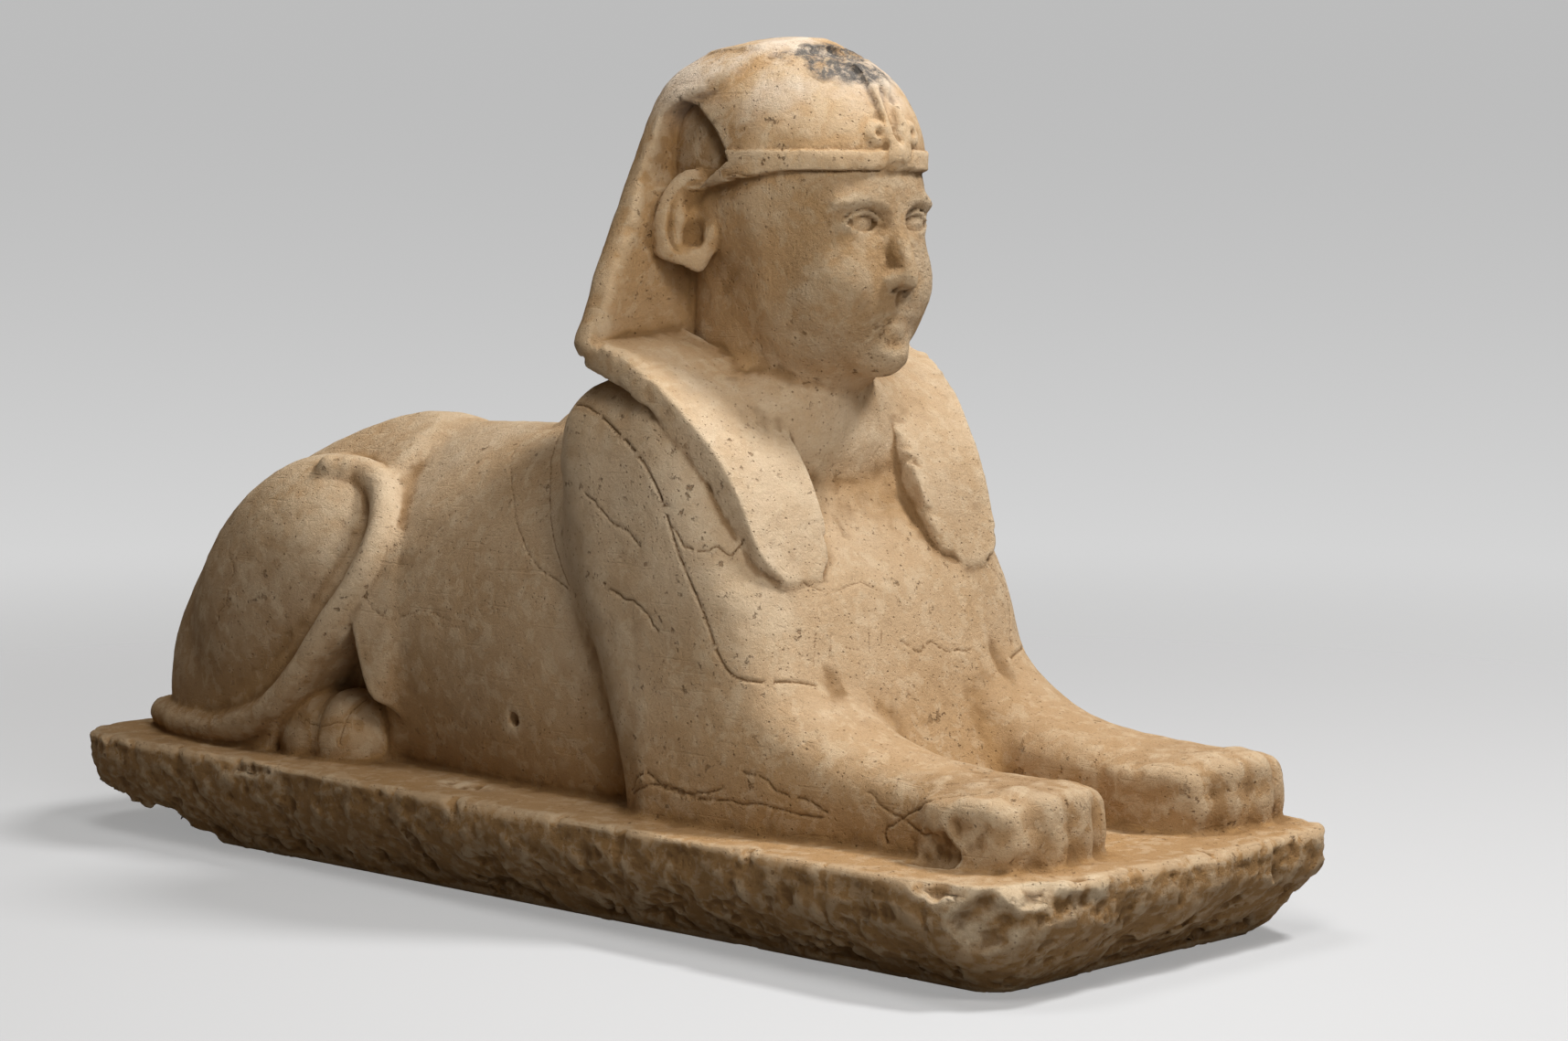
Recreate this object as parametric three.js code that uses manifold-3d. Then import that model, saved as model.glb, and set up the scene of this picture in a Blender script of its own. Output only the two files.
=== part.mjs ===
// A recumbent limestone sphinx with a king's headcloth, carved in one block with its plinth.
// Millimetres, +Z up. The statue faces -Y, its left side is +X, and z = 0 is the underside.
//
// The form is a field: a function that is negative inside the stone. Each part of the carving
// is one short function, joined to or cut from the rest with a chosen softness. The field is
// then turned into a closed mesh, thinned to few triangles, and sawn flat underneath.
import * as THREE from "three";
import Module from "manifold-3d";

// ---- Driving dimensions ----------------------------------------------------------------

const LENGTH = 1262; // plinth, front to rear
const RIGHT_HALF = 227; // plinth's front right corner from the middle line
const RIGHT_HALF_REAR = 200; // and its rear right corner
const LEFT_HALF = 227; // plinth's left side, which runs straight
const PLINTH_TOP = 95;
const CROWN = 767; // top of the headcloth
const FIGURE_X = 27; // the figure sits this far off the plinth's middle
const HAUNCH_HALF = 180;
const RUMP_END = 594; // rear of the rump
const BACK_TOP = 414;
const PAW_FRONT = -586;

const CELL = 6.5; // spacing of the sampling lattice
const TRIANGLES = 9300;
const SAW_ALLOWANCE = 8; // stone left below z = 0, sawn off at the end

// ---- Sculptor's vocabulary -------------------------------------------------------------

const clamp = (v, lo, hi) => Math.min(Math.max(v, lo), hi);
const mix = (a, b, t) => a + (b - a) * t;
const ease = (t) => (t <= 0 ? 0 : t >= 1 ? 1 : t * t * (3 - 2 * t));

/** Union of two fields, with a fillet about `soft` wide. */
function join(a, b, soft) {
  const h = Math.max(soft - Math.abs(a - b), 0);
  return Math.min(a, b) - (h * h) / (4 * soft);
}
const overlap = (a, b, soft) => -join(-a, -b, soft);
const cut = (a, b, soft) => -join(-a, b, soft);

function ellipsoid(x, y, z, rx, ry, rz) {
  const k = Math.hypot(x / rx, y / ry, z / rz);
  if (k < 0.05) return -0.95 * Math.min(rx, ry, rz);
  return (k * (k - 1)) / Math.hypot(x / rx ** 2, y / ry ** 2, z / rz ** 2);
}

/** A rounded oblong in the plane: power 2 is an ellipse, higher is squarer. */
function oblong(a, b, ra, rb, power) {
  const s = Math.abs(a) / ra;
  const t = Math.abs(b) / rb;
  const n = Math.pow(Math.pow(s, power) + Math.pow(t, power), 1 / power);
  if (n < 0.05) return -0.95 * Math.min(ra, rb);
  const steep = Math.hypot(Math.pow(s / n, power - 1) / ra, Math.pow(t / n, power - 1) / rb);
  return (n - 1) / steep;
}

function box(x, y, z, hx, hy, hz, round) {
  const a = Math.abs(x) - hx + round;
  const b = Math.abs(y) - hy + round;
  const c = Math.abs(z) - hz + round;
  const outside = Math.hypot(Math.max(a, 0), Math.max(b, 0), Math.max(c, 0));
  return outside + Math.min(Math.max(a, b, c), 0) - round;
}

/** Smooth functions of one variable through the rows of a table: [at, value, value, ...]. */
function stations(rows) {
  const at = rows.map((row) => row[0]);
  const last = rows.length - 1;
  return rows[0].slice(1).map((_, column) => {
    const v = rows.map((row) => row[column + 1]);
    const slope = v.map((_, i) => {
      const a = Math.max(i - 1, 0);
      const b = Math.min(i + 1, last);
      return (v[b] - v[a]) / (at[b] - at[a]);
    });
    return (x) => {
      if (x <= at[0]) return v[0];
      if (x >= at[last]) return v[last];
      let i = 0;
      while (x > at[i + 1]) i++;
      const span = at[i + 1] - at[i];
      const t = (x - at[i]) / span;
      const left = (1 - t) * (1 - t);
      const right = t * t;
      return (
        left * (v[i] * (1 + 2 * t) + slope[i] * span * t) +
        right * (v[i + 1] * (3 - 2 * t) - slope[i + 1] * span * (1 - t))
      );
    };
  });
}

const curve = (points) =>
  new THREE.CatmullRomCurve3(points.map((p) => new THREE.Vector3(...p)));

/** A round cord swept along sampled points, its radius going from one end to the other. */
function cord(points, radiusAt) {
  const reach = new THREE.Box3().setFromPoints(points).expandByScalar(40);
  const p = new THREE.Vector3();
  const nearest = new THREE.Vector3();
  const links = points.slice(1).map((end, i) => new THREE.Line3(points[i], end));
  return (u, y, z) => {
    p.set(u, y, z);
    if (!reach.containsPoint(p)) return reach.distanceToPoint(p) + 12;
    let best = Infinity;
    links.forEach((link, i) => {
      const t = link.closestPointToPointParameter(p, true);
      link.at(t, nearest);
      best = Math.min(best, nearest.distanceTo(p) - radiusAt((i + t) / links.length));
    });
    return best;
  };
}

/** A strap of even thickness between two edge curves, with rounded edges and ends. */
function strap(outerEdge, innerEdge, thickness, round, count) {
  const frames = [];
  for (let i = 0; i <= count; i++) {
    const outer = outerEdge.getPoint(i / count);
    const inner = innerEdge.getPoint(i / count);
    const across = outer.clone().sub(inner);
    const end = clamp((i / count - 0.86) / 0.14, 0, 1);
    const half = (across.length() / 2) * Math.sqrt(1 - 0.7 * end * end);
    frames.push({ middle: outer.add(inner).multiplyScalar(0.5), across: across.normalize(), half });
  }
  const links = frames.slice(1).map((end, i) => new THREE.Line3(frames[i].middle, end.middle));
  const reach = new THREE.Box3().setFromPoints(frames.map((f) => f.middle)).expandByScalar(90);
  const p = new THREE.Vector3();
  const nearest = new THREE.Vector3();
  const along = new THREE.Vector3();
  const across = new THREE.Vector3();
  const facing = new THREE.Vector3();
  return (u, y, z) => {
    p.set(u, y, z);
    if (!reach.containsPoint(p)) return reach.distanceToPoint(p) + 20;
    let best = Infinity;
    let at = 0;
    links.forEach((link, i) => {
      const t = link.closestPointToPointParameter(p, true);
      const d = link.at(t, nearest).distanceToSquared(p);
      if (d < best) {
        best = d;
        at = i + t;
      }
    });
    const i = Math.min(Math.floor(at), links.length - 1);
    const t = at - i;
    links[i].at(t, nearest);
    links[i].delta(along).normalize();
    across.copy(frames[i].across).lerp(frames[i + 1].across, t);
    across.addScaledVector(along, -across.dot(along)).normalize();
    facing.crossVectors(along, across);
    p.sub(nearest);
    return box(p.dot(across), p.dot(facing), p.dot(along), mix(frames[i].half, frames[i + 1].half, t),
      thickness / 2, round, round);
  };
}

/** Cheap repeatable unevenness between -1 and 1, with bumps about `size` across. */
function uneven(x, y, z, size) {
  const k = 6.2832 / size;
  return (
    (Math.sin(k * (x + 0.6 * y + 31)) * Math.sin(k * (0.8 * y - 0.5 * z + 7)) +
      Math.sin(1.7 * k * (z - 0.4 * x + 13)) * Math.sin(1.3 * k * (y + 0.7 * x + 3))) / 2
  );
}

// ---- Plinth ------------------------------------------------------------------------------

/** Low plinth with a worn outline. Its underside curls up to the sides and rises to the rear. */
function plinth(x, y, z) {
  const along = y / LENGTH + 0.5;
  const half = x < 0 ? mix(RIGHT_HALF, RIGHT_HALF_REAR, along) : LEFT_HALF;
  const corner = y > 0 ? 66 : x < 0 ? 84 : 50;
  const a = Math.abs(x) - half + corner;
  const b = Math.abs(y) - LENGTH / 2 + corner;
  const outline = Math.min(Math.max(a, b), 0) + Math.hypot(Math.max(a, 0), Math.max(b, 0)) - corner;
  const rim = 58 * clamp(1 + outline / mix(76, 40, along), 0, 1) ** 1.5;
  const end = 48 * clamp((y - 395) / (LENGTH / 2 - 395), 0, 1);
  const lift = Math.max(rim, end);
  const under = lift - SAW_ALLOWANCE * (1 - clamp(lift / 8, 0, 1));
  const side = outline + 3 * uneven(x, y, z, 95) * clamp((PLINTH_TOP - z) / 25, 0, 1);
  const upper = overlap(side, z - PLINTH_TOP, 10);
  const rough = under > 4 ? 4 * uneven(x, y, z, 120) : 0;
  return overlap(upper, 0.8 * (under - z) + rough, 12);
}

// ---- Body -----------------------------------------------------------------------------------

const [backTop, bellyHalf, bellyPower] = stations([
  [-140, 422, 160, 2.35], [-40, 422, 164, 2.35], [40, 420, 166, 2.1], [110, 416, 164, 1.85],
  [200, 414, 161, 1.65], [260, 411, 145, 1.6], [330, 406, 120, 1.6], [420, 380, 90, 1.6],
]);

function torso(u, y, z) {
  const widest = 215;
  const rise = z > widest ? backTop(y) - widest : 265;
  const section = oblong(u, z - widest, bellyHalf(y), rise, bellyPower(y));
  return Math.max(section, Math.abs(y - 140) - 280);
}

/** Chest, shoulders and upper arms, built up in level sections, with a hollow breast. */
const [chestFront, armRear, chestHalf] = stations([
  [60, -310, -108, 190], [137, -316, -94, 193], [208, -318, -66, 192], [242, -310, -52, 191],
  [285, -295, -34, 191], [320, -276, -24, 190], [360, -252, -18, 189], [400, -236, -14, 187],
  [435, -221, -22, 182], [455, -208, -38, 171], [468, -194, -58, 150], [476, -176, -80, 118],
]);

function forequarters(u, y, z) {
  const hollow = 12 * Math.exp(-((u / 92) ** 2)) * ease((z - 285) / 75);
  const front = chestFront(z) + hollow;
  const rear = armRear(z);
  const middle = (chestFront(z) + rear) / 2;
  const reach = y > middle ? rear - middle : middle - front;
  const level = oblong(u, y - middle, chestHalf(z), reach, y > middle ? 3.4 : 4.6);
  return overlap(level * 0.9, z - 474, 16);
}

/** The chest goes down between the forelegs as a sloping apron. */
function apron(u, y, z) {
  const slope = (-(y + 300) - 0.62 * (240 - z)) * 0.85;
  return Math.max(slope, Math.abs(u) - 90, y + 150, z - 270);
}

// ---- Hindquarters --------------------------------------------------------------------------

/** The rump as one swelling mass, squarer in plan than in height. */
function rump(u, y, z) {
  const middle = 318;
  const low = 142;
  const plan = Math.pow((Math.abs(u) / HAUNCH_HALF) ** 4 + (Math.abs(y - middle) / (RUMP_END - middle)) ** 4, 0.25);
  const high = Math.max(z - low, 0) / (BACK_TOP - low);
  const n = Math.pow(plan ** 1.78 + high ** 1.78, 1 / 1.78);
  return (n - 1) * 165;
}

/** Front edge of the haunch: the mass stands a little proud of the belly and ends in a line. */
const [haunchFront] = stations([[95, 168], [158, 171], [200, 182], [230, 188], [266, 199], [299, 212], [330, 236], [370, 270]]);

function thigh(a, y, z) {
  const tilt = 0.9; // the long axis runs from the upper front down to the rear
  const dy = y - 416;
  const dz = z - 238;
  const long = dy * Math.cos(tilt) - dz * Math.sin(tilt);
  const short = dy * Math.sin(tilt) + dz * Math.cos(tilt);
  return ellipsoid(a - 92, long, short, 97, 168, 100);
}

/** Hollow under the flank where the hind paw lies. */
function archHollow(a, y, z) {
  const height = z - PLINTH_TOP;
  const rear = 362 - 0.86 * height;
  const front = 170 + 0.62 * Math.max(height - 30, 0);
  const span = Math.max(front - y, y - rear) * 0.75;
  const wall = mix(150, 84, clamp((y - 100) / 175, 0, 1));
  return Math.max(span, wall - a);
}

function hindPaw(a, y, z) {
  const outerToe = ellipsoid(a - 156, y - 340, z - 114, 26, 56, 38);
  const innerToe = ellipsoid(a - 114, y - 327, z - 116, 34, 60, 43);
  return join(outerToe, innerToe, 6);
}

// The tail's course over the right haunch in side view: along the plinth, up past the knee, and a hook.
const TAIL_SIDE = [
  [546, 108], [500, 107], [415, 114], [349, 141], [305, 183], [272, 230],
  [248, 271], [243, 301], [254, 331], [278, 352], [306, 364], [332, 369],
];

function hindBody(u, y, z) {
  const a = Math.abs(u);
  const mass = overlap(rump(u, y, z), haunchFront(z) - y, 14);
  return join(mass, thigh(a, y, z), 5);
}

/** Finds the haunch's surface on the statue's right side at a given place in side view. */
function onHaunch(y, z) {
  let outer = -260;
  let inner = 0;
  for (let step = 0; step < 30; step++) {
    const middle = (outer + inner) / 2;
    if (hindBody(middle, y, z) > 0) outer = middle;
    else inner = middle;
  }
  return outer;
}

const TAIL = (() => {
  const behind = [[8, 584, 172], [-22, 599, 134], [-76, 601, 112], [-128, 592, 108]];
  const beside = TAIL_SIDE.map(([y, z]) => [onHaunch(y, z) - 1, y, z]);
  return cord(curve([...behind, ...beside]).getPoints(60), (t) => (t > 0.97 ? 13 : 15));
})();

/** Body and hindquarters together, hollowed under the flank round the hind paws. */
function trunk(u, y, z) {
  const a = Math.abs(u);
  const soft = mix(8, 26, clamp((z - 330) / 60, 0, 1));
  let d = join(torso(u, y, z), join(hindBody(u, y, z), TAIL(u, y, z), 4), soft);
  d = cut(d, archHollow(a, y, z), 9);
  return join(d, hindPaw(a, y, z), 5);
}

// ---- Forelegs --------------------------------------------------------------------------------

const [legTop, legHalf, legMiddle] = stations([
  [-600, 150, 63, 121], [-560, 158, 65, 121], [-500, 158, 63, 120], [-450, 163, 60, 118], [-408, 169, 61, 118],
  [-367, 182, 64, 120], [-335, 200, 68, 121], [-305, 220, 72, 122], [-270, 236, 74, 121], [-160, 240, 76, 119],
]);

function foreleg(a, y, z) {
  const rise = z > 120 ? legTop(y) - 120 : 200;
  const section = oblong(a - legMiddle(y), z - 120, legHalf(y), rise, 2.7);
  return overlap(overlap(section, PAW_FRONT + 40 - y, 40), y + 170, 20);
}

function toes(a, y, z) {
  let d = Infinity;
  for (const [across, front, top] of [[72, 12, 40], [103, 1, 45], [138, -2, 45], [169, 9, 39]])
    d = join(d, ellipsoid(a - across, y - (PAW_FRONT + front + 46), z - 114, 23, 50, top), 9);
  return d;
}

// ---- Head --------------------------------------------------------------------------------------

const CHIN_Z = 472;
const EYE_Z = 604; // half way from the chin to the top of the skull under the cloth
const NOSE_Z = 547; // half way from brow to chin
const MOUTH_Z = 522;

/** A calm, regular face: an egg, temples, a jaw, cheeks, lips and chin, with worn features. */
function face(a, y, z) {
  let d = ellipsoid(a, y + 210, z - 584, 82, 84, 122);
  d = join(d, ellipsoid(a, y + 195, z - 628, 93, 98, 84), 20);
  d = join(d, ellipsoid(a, y + 150, z - 620, 92, 70, 74), 14);
  d = join(d, ellipsoid(a, y + 222, z - 526, 68, 66, 56), 28);
  d = join(d, ellipsoid(a - 36, y + 256, z - 556, 34, 32, 34), 24);
  d = join(d, ellipsoid(a, y + 276, z - CHIN_Z - 19, 24, 20, 19), 20);
  d = join(d, ellipsoid(a, y + 280, z - NOSE_Z - 30, 10, 18, 34), 12);
  d = join(d, ellipsoid(a, y + 284, z - NOSE_Z - 7, 17, 16, 11), 9);
  d = join(d, ellipsoid(a, y + 276, z - MOUTH_Z, 27, 18, 12), 10);
  d = cut(d, box(a, y + 297, z - MOUTH_Z, 22, 7, 1.5, 1), 5);
  return cut(d, ellipsoid(a - 34, y + 290, z - EYE_Z, 20, 15, 8.5), 6);
}

function neck(u, y, z) {
  const level = oblong(u, y + 150, 72, mix(60, 84, clamp((z - 350) / 110, 0, 1)), 2.1);
  return Math.max(level, z - 590, 340 - z);
}

/** Ear set facing half forward, its lobe and lower rim broken away on a slant. */
function ear(a, y, z) {
  const outward = 0.8 * (a - 97) - 0.6 * (y + 130);
  const along = 0.6 * (a - 97) + 0.8 * (y + 130) + 0.12 * (z - 606);
  let d = ellipsoid(outward, along, z - 606, 11, 27, 47);
  d = cut(d, ellipsoid(outward - 10, along, z - 612, 10, 17, 33), 4);
  return overlap(d, 0.8 * (574 + 0.6 * along - z), 5);
}

/** Rounded cap of the headcloth, longer to the rear and ending at the brow. */
function dome(u, y, z) {
  const dy = y + 172;
  return Math.max(ellipsoid(u, dy, z - 656, 105, dy < 0 ? 122 : 142, CROWN - 656), 650 - z);
}

/** Headcloth behind the face: from the crown it spreads down to the shoulders as two wings. */
const [wingHalf, wingMiddle, wingDepth] = stations([
  [488, 181, -92, 54], [501, 187, -92, 56], [524, 178, -94, 56], [560, 166, -96, 58], [600, 146, -98, 60],
  [640, 129, -104, 66], [680, 111, -115, 74], [713, 94, -130, 88], [737, 74, -146, 96], [755, 48, -164, 84],
]);

function wings(u, y, z) {
  const middle = wingMiddle(z);
  const back = oblong(u, y - middle, wingHalf(z), wingDepth(z), 2);
  const slab = overlap(back, middle - 13 - y, 9);
  return Math.max(slab, z - 752, 489 - z);
}

/** Sunk panel between the cap's curved edge and the wing. */
function templeHollow(a, y, z) {
  const panel = oblong(y + 112, z - 655, 92, 60, 2);
  const deep = 8 + 0.08 * (-112 - y);
  return Math.max(panel, 668 - z, -dome(a, y, z) - deep, y + 111);
}

/** Flat band round the brow, with the remains of the cobra above it. */
function browBand(u, y, z) {
  const d = oblong(u, y + 172, 107, 125, 2);
  const lower = mix(634, 650, clamp((-y - 150) / 90, 0, 1));
  return overlap(d, Math.max(z - 667, lower - z, y + 112), 2);
}

function cobraRemains(u, y, z) {
  const stump = Math.max(Math.abs(u) - 13, Math.abs(z - 700) - 42, -dome(u, y, z) - 8, dome(u, y, z) - 5);
  const coil = Math.hypot(Math.hypot(Math.abs(u) - 22, z - 684) - 8, dome(u, y, z) - 1) - 4.5;
  return y < -172 ? Math.min(stump, coil) : 99;
}

const LAPPET = strap(
  curve([[182, -94, 492], [188, -160, 470], [173, -213, 421], [163, -242, 379], [156, -260, 335], [150, -275, 300]]),
  curve([[74, -106, 498], [70, -164, 472], [67, -215, 421], [66, -244, 379], [68, -263, 335], [72, -276, 300]]),
  26, 8, 16,
);

/** The cloth's tail, gathered at the nape and lying between the shoulders. */
const QUEUE = cord(curve([[0, -80, 560], [0, -62, 500], [0, -22, 452], [0, 40, 424], [0, 110, 412]]).getPoints(12),
  (t) => mix(44, 16, t));

function head(u, y, z) {
  const a = Math.abs(u);
  let d = face(a, y, z);
  let cloth = join(dome(u, y, z), wings(u, y, z), 30);
  cloth = cut(cloth, templeHollow(a, y, z), 4);
  d = join(d, cloth, 4);
  d = join(d, browBand(u, y, z), 3);
  d = join(d, cobraRemains(u, y, z), 4);
  return join(d, ear(a, y, z), 5);
}

// ---- The whole statue --------------------------------------------------------------------------

function sphinx(x, y, z) {
  const u = x - FIGURE_X;
  const a = Math.abs(u);
  let d = 1e3;
  if (z < 520) {
    d = join(trunk(u, y, z), forequarters(u, y, z), mix(10, 46, clamp((z - 230) / 130, 0, 1)));
    d = join(d, apron(u, y, z), 20);
    d = join(d, join(foreleg(a, y, z), toes(a, y, z), 7), 16);
  }
  if (z > 360) {
    d = join(d, neck(u, y, z), mix(2, 48, ease((z - 360) / 70)));
    d = join(d, QUEUE(u, y, z), 12);
  }
  if (z > 440) d = join(d, head(u, y, z), 6);
  if (z > 270) d = join(d, LAPPET(a, y, z), 3);
  return z < 160 ? join(Math.max(d, PLINTH_TOP - 30 - z), plinth(x, y, z), 7) : d;
}

// ---- From the field to a mesh --------------------------------------------------------------------

const LOWEST = new THREE.Vector3(-RIGHT_HALF - 13, -LENGTH / 2 - 13, -SAW_ALLOWANCE - 13);
const COARSE = 4; // lattice cells along a block's side
const BLOCKS = [RIGHT_HALF + LEFT_HALF + 26, LENGTH + 26, CROWN + SAW_ALLOWANCE + 26].map((s) => Math.ceil(s / (CELL * COARSE)));
const NODES = BLOCKS.map((n) => n * COARSE + 1);
const STRIDE = [1, NODES[0], NODES[0] * NODES[1]];

const nodeIndex = (i, j, k) => i + j * STRIDE[1] + k * STRIDE[2];
const valueAt = (i, j, k) => {
  const v = sphinx(LOWEST.x + i * CELL, LOWEST.y + j * CELL, LOWEST.z + k * CELL);
  return Math.abs(v) < 1e-3 ? 1e-3 : v;
};

/** Samples the field block by block, finely only where the surface passes, following it across blocks. */
function sampleField() {
  const values = new Float32Array(NODES[0] * NODES[1] * NODES[2]);
  const known = new Uint8Array(values.length);
  const get = (i, j, k) => {
    const n = nodeIndex(i, j, k);
    if (!known[n]) {
      known[n] = 1;
      values[n] = valueAt(i, j, k);
    }
    return values[n];
  };
  const waiting = [];
  const taken = new Set();
  const take = (i, j, k) => {
    const key = i + BLOCKS[0] * (j + BLOCKS[1] * k);
    const inside = i >= 0 && j >= 0 && k >= 0 && i < BLOCKS[0] && j < BLOCKS[1] && k < BLOCKS[2];
    if (!inside || taken.has(key)) return;
    taken.add(key);
    waiting.push([i, j, k]);
  };
  const eachBlock = (visit) => {
    for (let k = 0; k < BLOCKS[2]; k++)
      for (let j = 0; j < BLOCKS[1]; j++) for (let i = 0; i < BLOCKS[0]; i++) visit(i, j, k);
  };
  eachBlock((i, j, k) => {
    const first = get(i * COARSE, j * COARSE, k * COARSE) > 0;
    for (let c = 1; c < 8; c++)
      if (get((i + (c & 1)) * COARSE, (j + ((c >> 1) & 1)) * COARSE, (k + (c >> 2)) * COARSE) > 0 !== first)
        take(i, j, k);
  });
  const cells = [];
  while (waiting.length) {
    const [bi, bj, bk] = waiting.pop();
    const crossed = [false, false, false, false, false, false];
    for (let n = 0; n < COARSE ** 3; n++) {
      const [ci, cj, ck] = [n % COARSE, Math.floor(n / COARSE) % COARSE, Math.floor(n / COARSE ** 2)];
      const [i, j, k] = [bi * COARSE + ci, bj * COARSE + cj, bk * COARSE + ck];
      let inside = 0;
      for (let c = 0; c < 8; c++) inside += get(i + (c & 1), j + ((c >> 1) & 1), k + (c >> 2)) < 0 ? 1 : 0;
      if (inside === 0 || inside === 8) continue;
      cells.push([i, j, k]);
      [ci === 0, ci === COARSE - 1, cj === 0, cj === COARSE - 1, ck === 0, ck === COARSE - 1].forEach((edge, side) => {
        crossed[side] = crossed[side] || edge;
      });
    }
    const steps = [[-1, 0, 0], [1, 0, 0], [0, -1, 0], [0, 1, 0], [0, 0, -1], [0, 0, 1]];
    steps.forEach(([di, dj, dk], side) => crossed[side] && take(bi + di, bj + dj, bk + dk));
  }
  return { values, cells };
}

// Each cell is split into six tetrahedra round its long diagonal; corners are numbered by bits x, y, z.
const TETRAHEDRA = [[0, 1, 3, 7], [0, 3, 2, 7], [0, 2, 6, 7], [0, 6, 4, 7], [0, 4, 5, 7], [0, 5, 1, 7]];

/** Marches the tetrahedra, which always gives a closed surface. */
function march({ values, cells }) {
  const points = [];
  const faces = [];
  const made = new Map();
  const corner = (n) =>
    new THREE.Vector3(n % STRIDE[1], Math.floor(n / STRIDE[1]) % NODES[1], Math.floor(n / STRIDE[2]));
  const crossing = (m, n) => {
    const key = Math.min(m, n) * 4e6 + Math.abs(m - n);
    let at = made.get(key);
    if (at === undefined) {
      const t = clamp(values[m] / (values[m] - values[n]), 0.04, 0.96);
      at = points.push(corner(m).lerp(corner(n), t).multiplyScalar(CELL).add(LOWEST)) - 1;
      made.set(key, at);
    }
    return at;
  };
  const outward = new THREE.Vector3();
  const e1 = new THREE.Vector3();
  const e2 = new THREE.Vector3();
  const addFace = (p, q, r, inside, outside) => {
    outward.set(0, 0, 0);
    for (const n of outside) outward.addScaledVector(corner(n), 1 / outside.length);
    for (const n of inside) outward.addScaledVector(corner(n), -1 / inside.length);
    e1.subVectors(points[q], points[p]);
    e2.subVectors(points[r], points[p]);
    faces.push(e1.cross(e2).dot(outward) > 0 ? [p, q, r] : [p, r, q]);
  };
  for (const [i, j, k] of cells) {
    const base = nodeIndex(i, j, k);
    const ids = Array.from({ length: 8 }, (_, c) =>
      base + (c & 1) + ((c >> 1) & 1) * STRIDE[1] + (c >> 2) * STRIDE[2]);
    for (const tetrahedron of TETRAHEDRA) {
      const inside = tetrahedron.map((c) => ids[c]).filter((n) => values[n] < 0);
      const outside = tetrahedron.map((c) => ids[c]).filter((n) => values[n] >= 0);
      if (!inside.length || !outside.length) continue;
      if (inside.length === 2) {
        const [a, b] = inside;
        const [c, d] = outside;
        const [ac, bc, bd, ad] = [crossing(a, c), crossing(b, c), crossing(b, d), crossing(a, d)];
        addFace(ac, bc, bd, inside, outside);
        addFace(ac, bd, ad, inside, outside);
      } else {
        const single = inside.length === 1 ? inside[0] : outside[0];
        const [a, b, c] = (inside.length === 1 ? outside : inside).map((n) => crossing(single, n));
        addFace(a, b, c, inside, outside);
      }
    }
  }
  return { points, faces };
}

/** Smallest-first queue of possible edge collapses. */
class Queue {
  constructor() {
    this.items = [];
  }
  push(item) {
    const q = this.items;
    let i = q.push(item) - 1;
    while (i > 0) {
      const up = (i - 1) >> 1;
      if (q[up].cost <= item.cost) break;
      q[i] = q[up];
      i = up;
    }
    q[i] = item;
  }
  pop() {
    const q = this.items;
    const top = q[0];
    const item = q.pop();
    if (!q.length) return top;
    let i = 0;
    for (;;) {
      let down = 2 * i + 1;
      if (down >= q.length) break;
      if (down + 1 < q.length && q[down + 1].cost < q[down].cost) down++;
      if (q[down].cost >= item.cost) break;
      q[i] = q[down];
      i = down;
    }
    q[i] = item;
    return top;
  }
}

/** How much the surface at a point matters when triangles are spent: the head and paws count more. */
function care(p) {
  if (p.z > 480) return p.y < -170 ? 7 : 3;
  if (p.z < PLINTH_TOP + 2) return p.z < 6 ? 0.3 : 0.5;
  if (p.y < -450 || (p.y > 230 && p.z < 170)) return 2;
  return 1;
}

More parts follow.
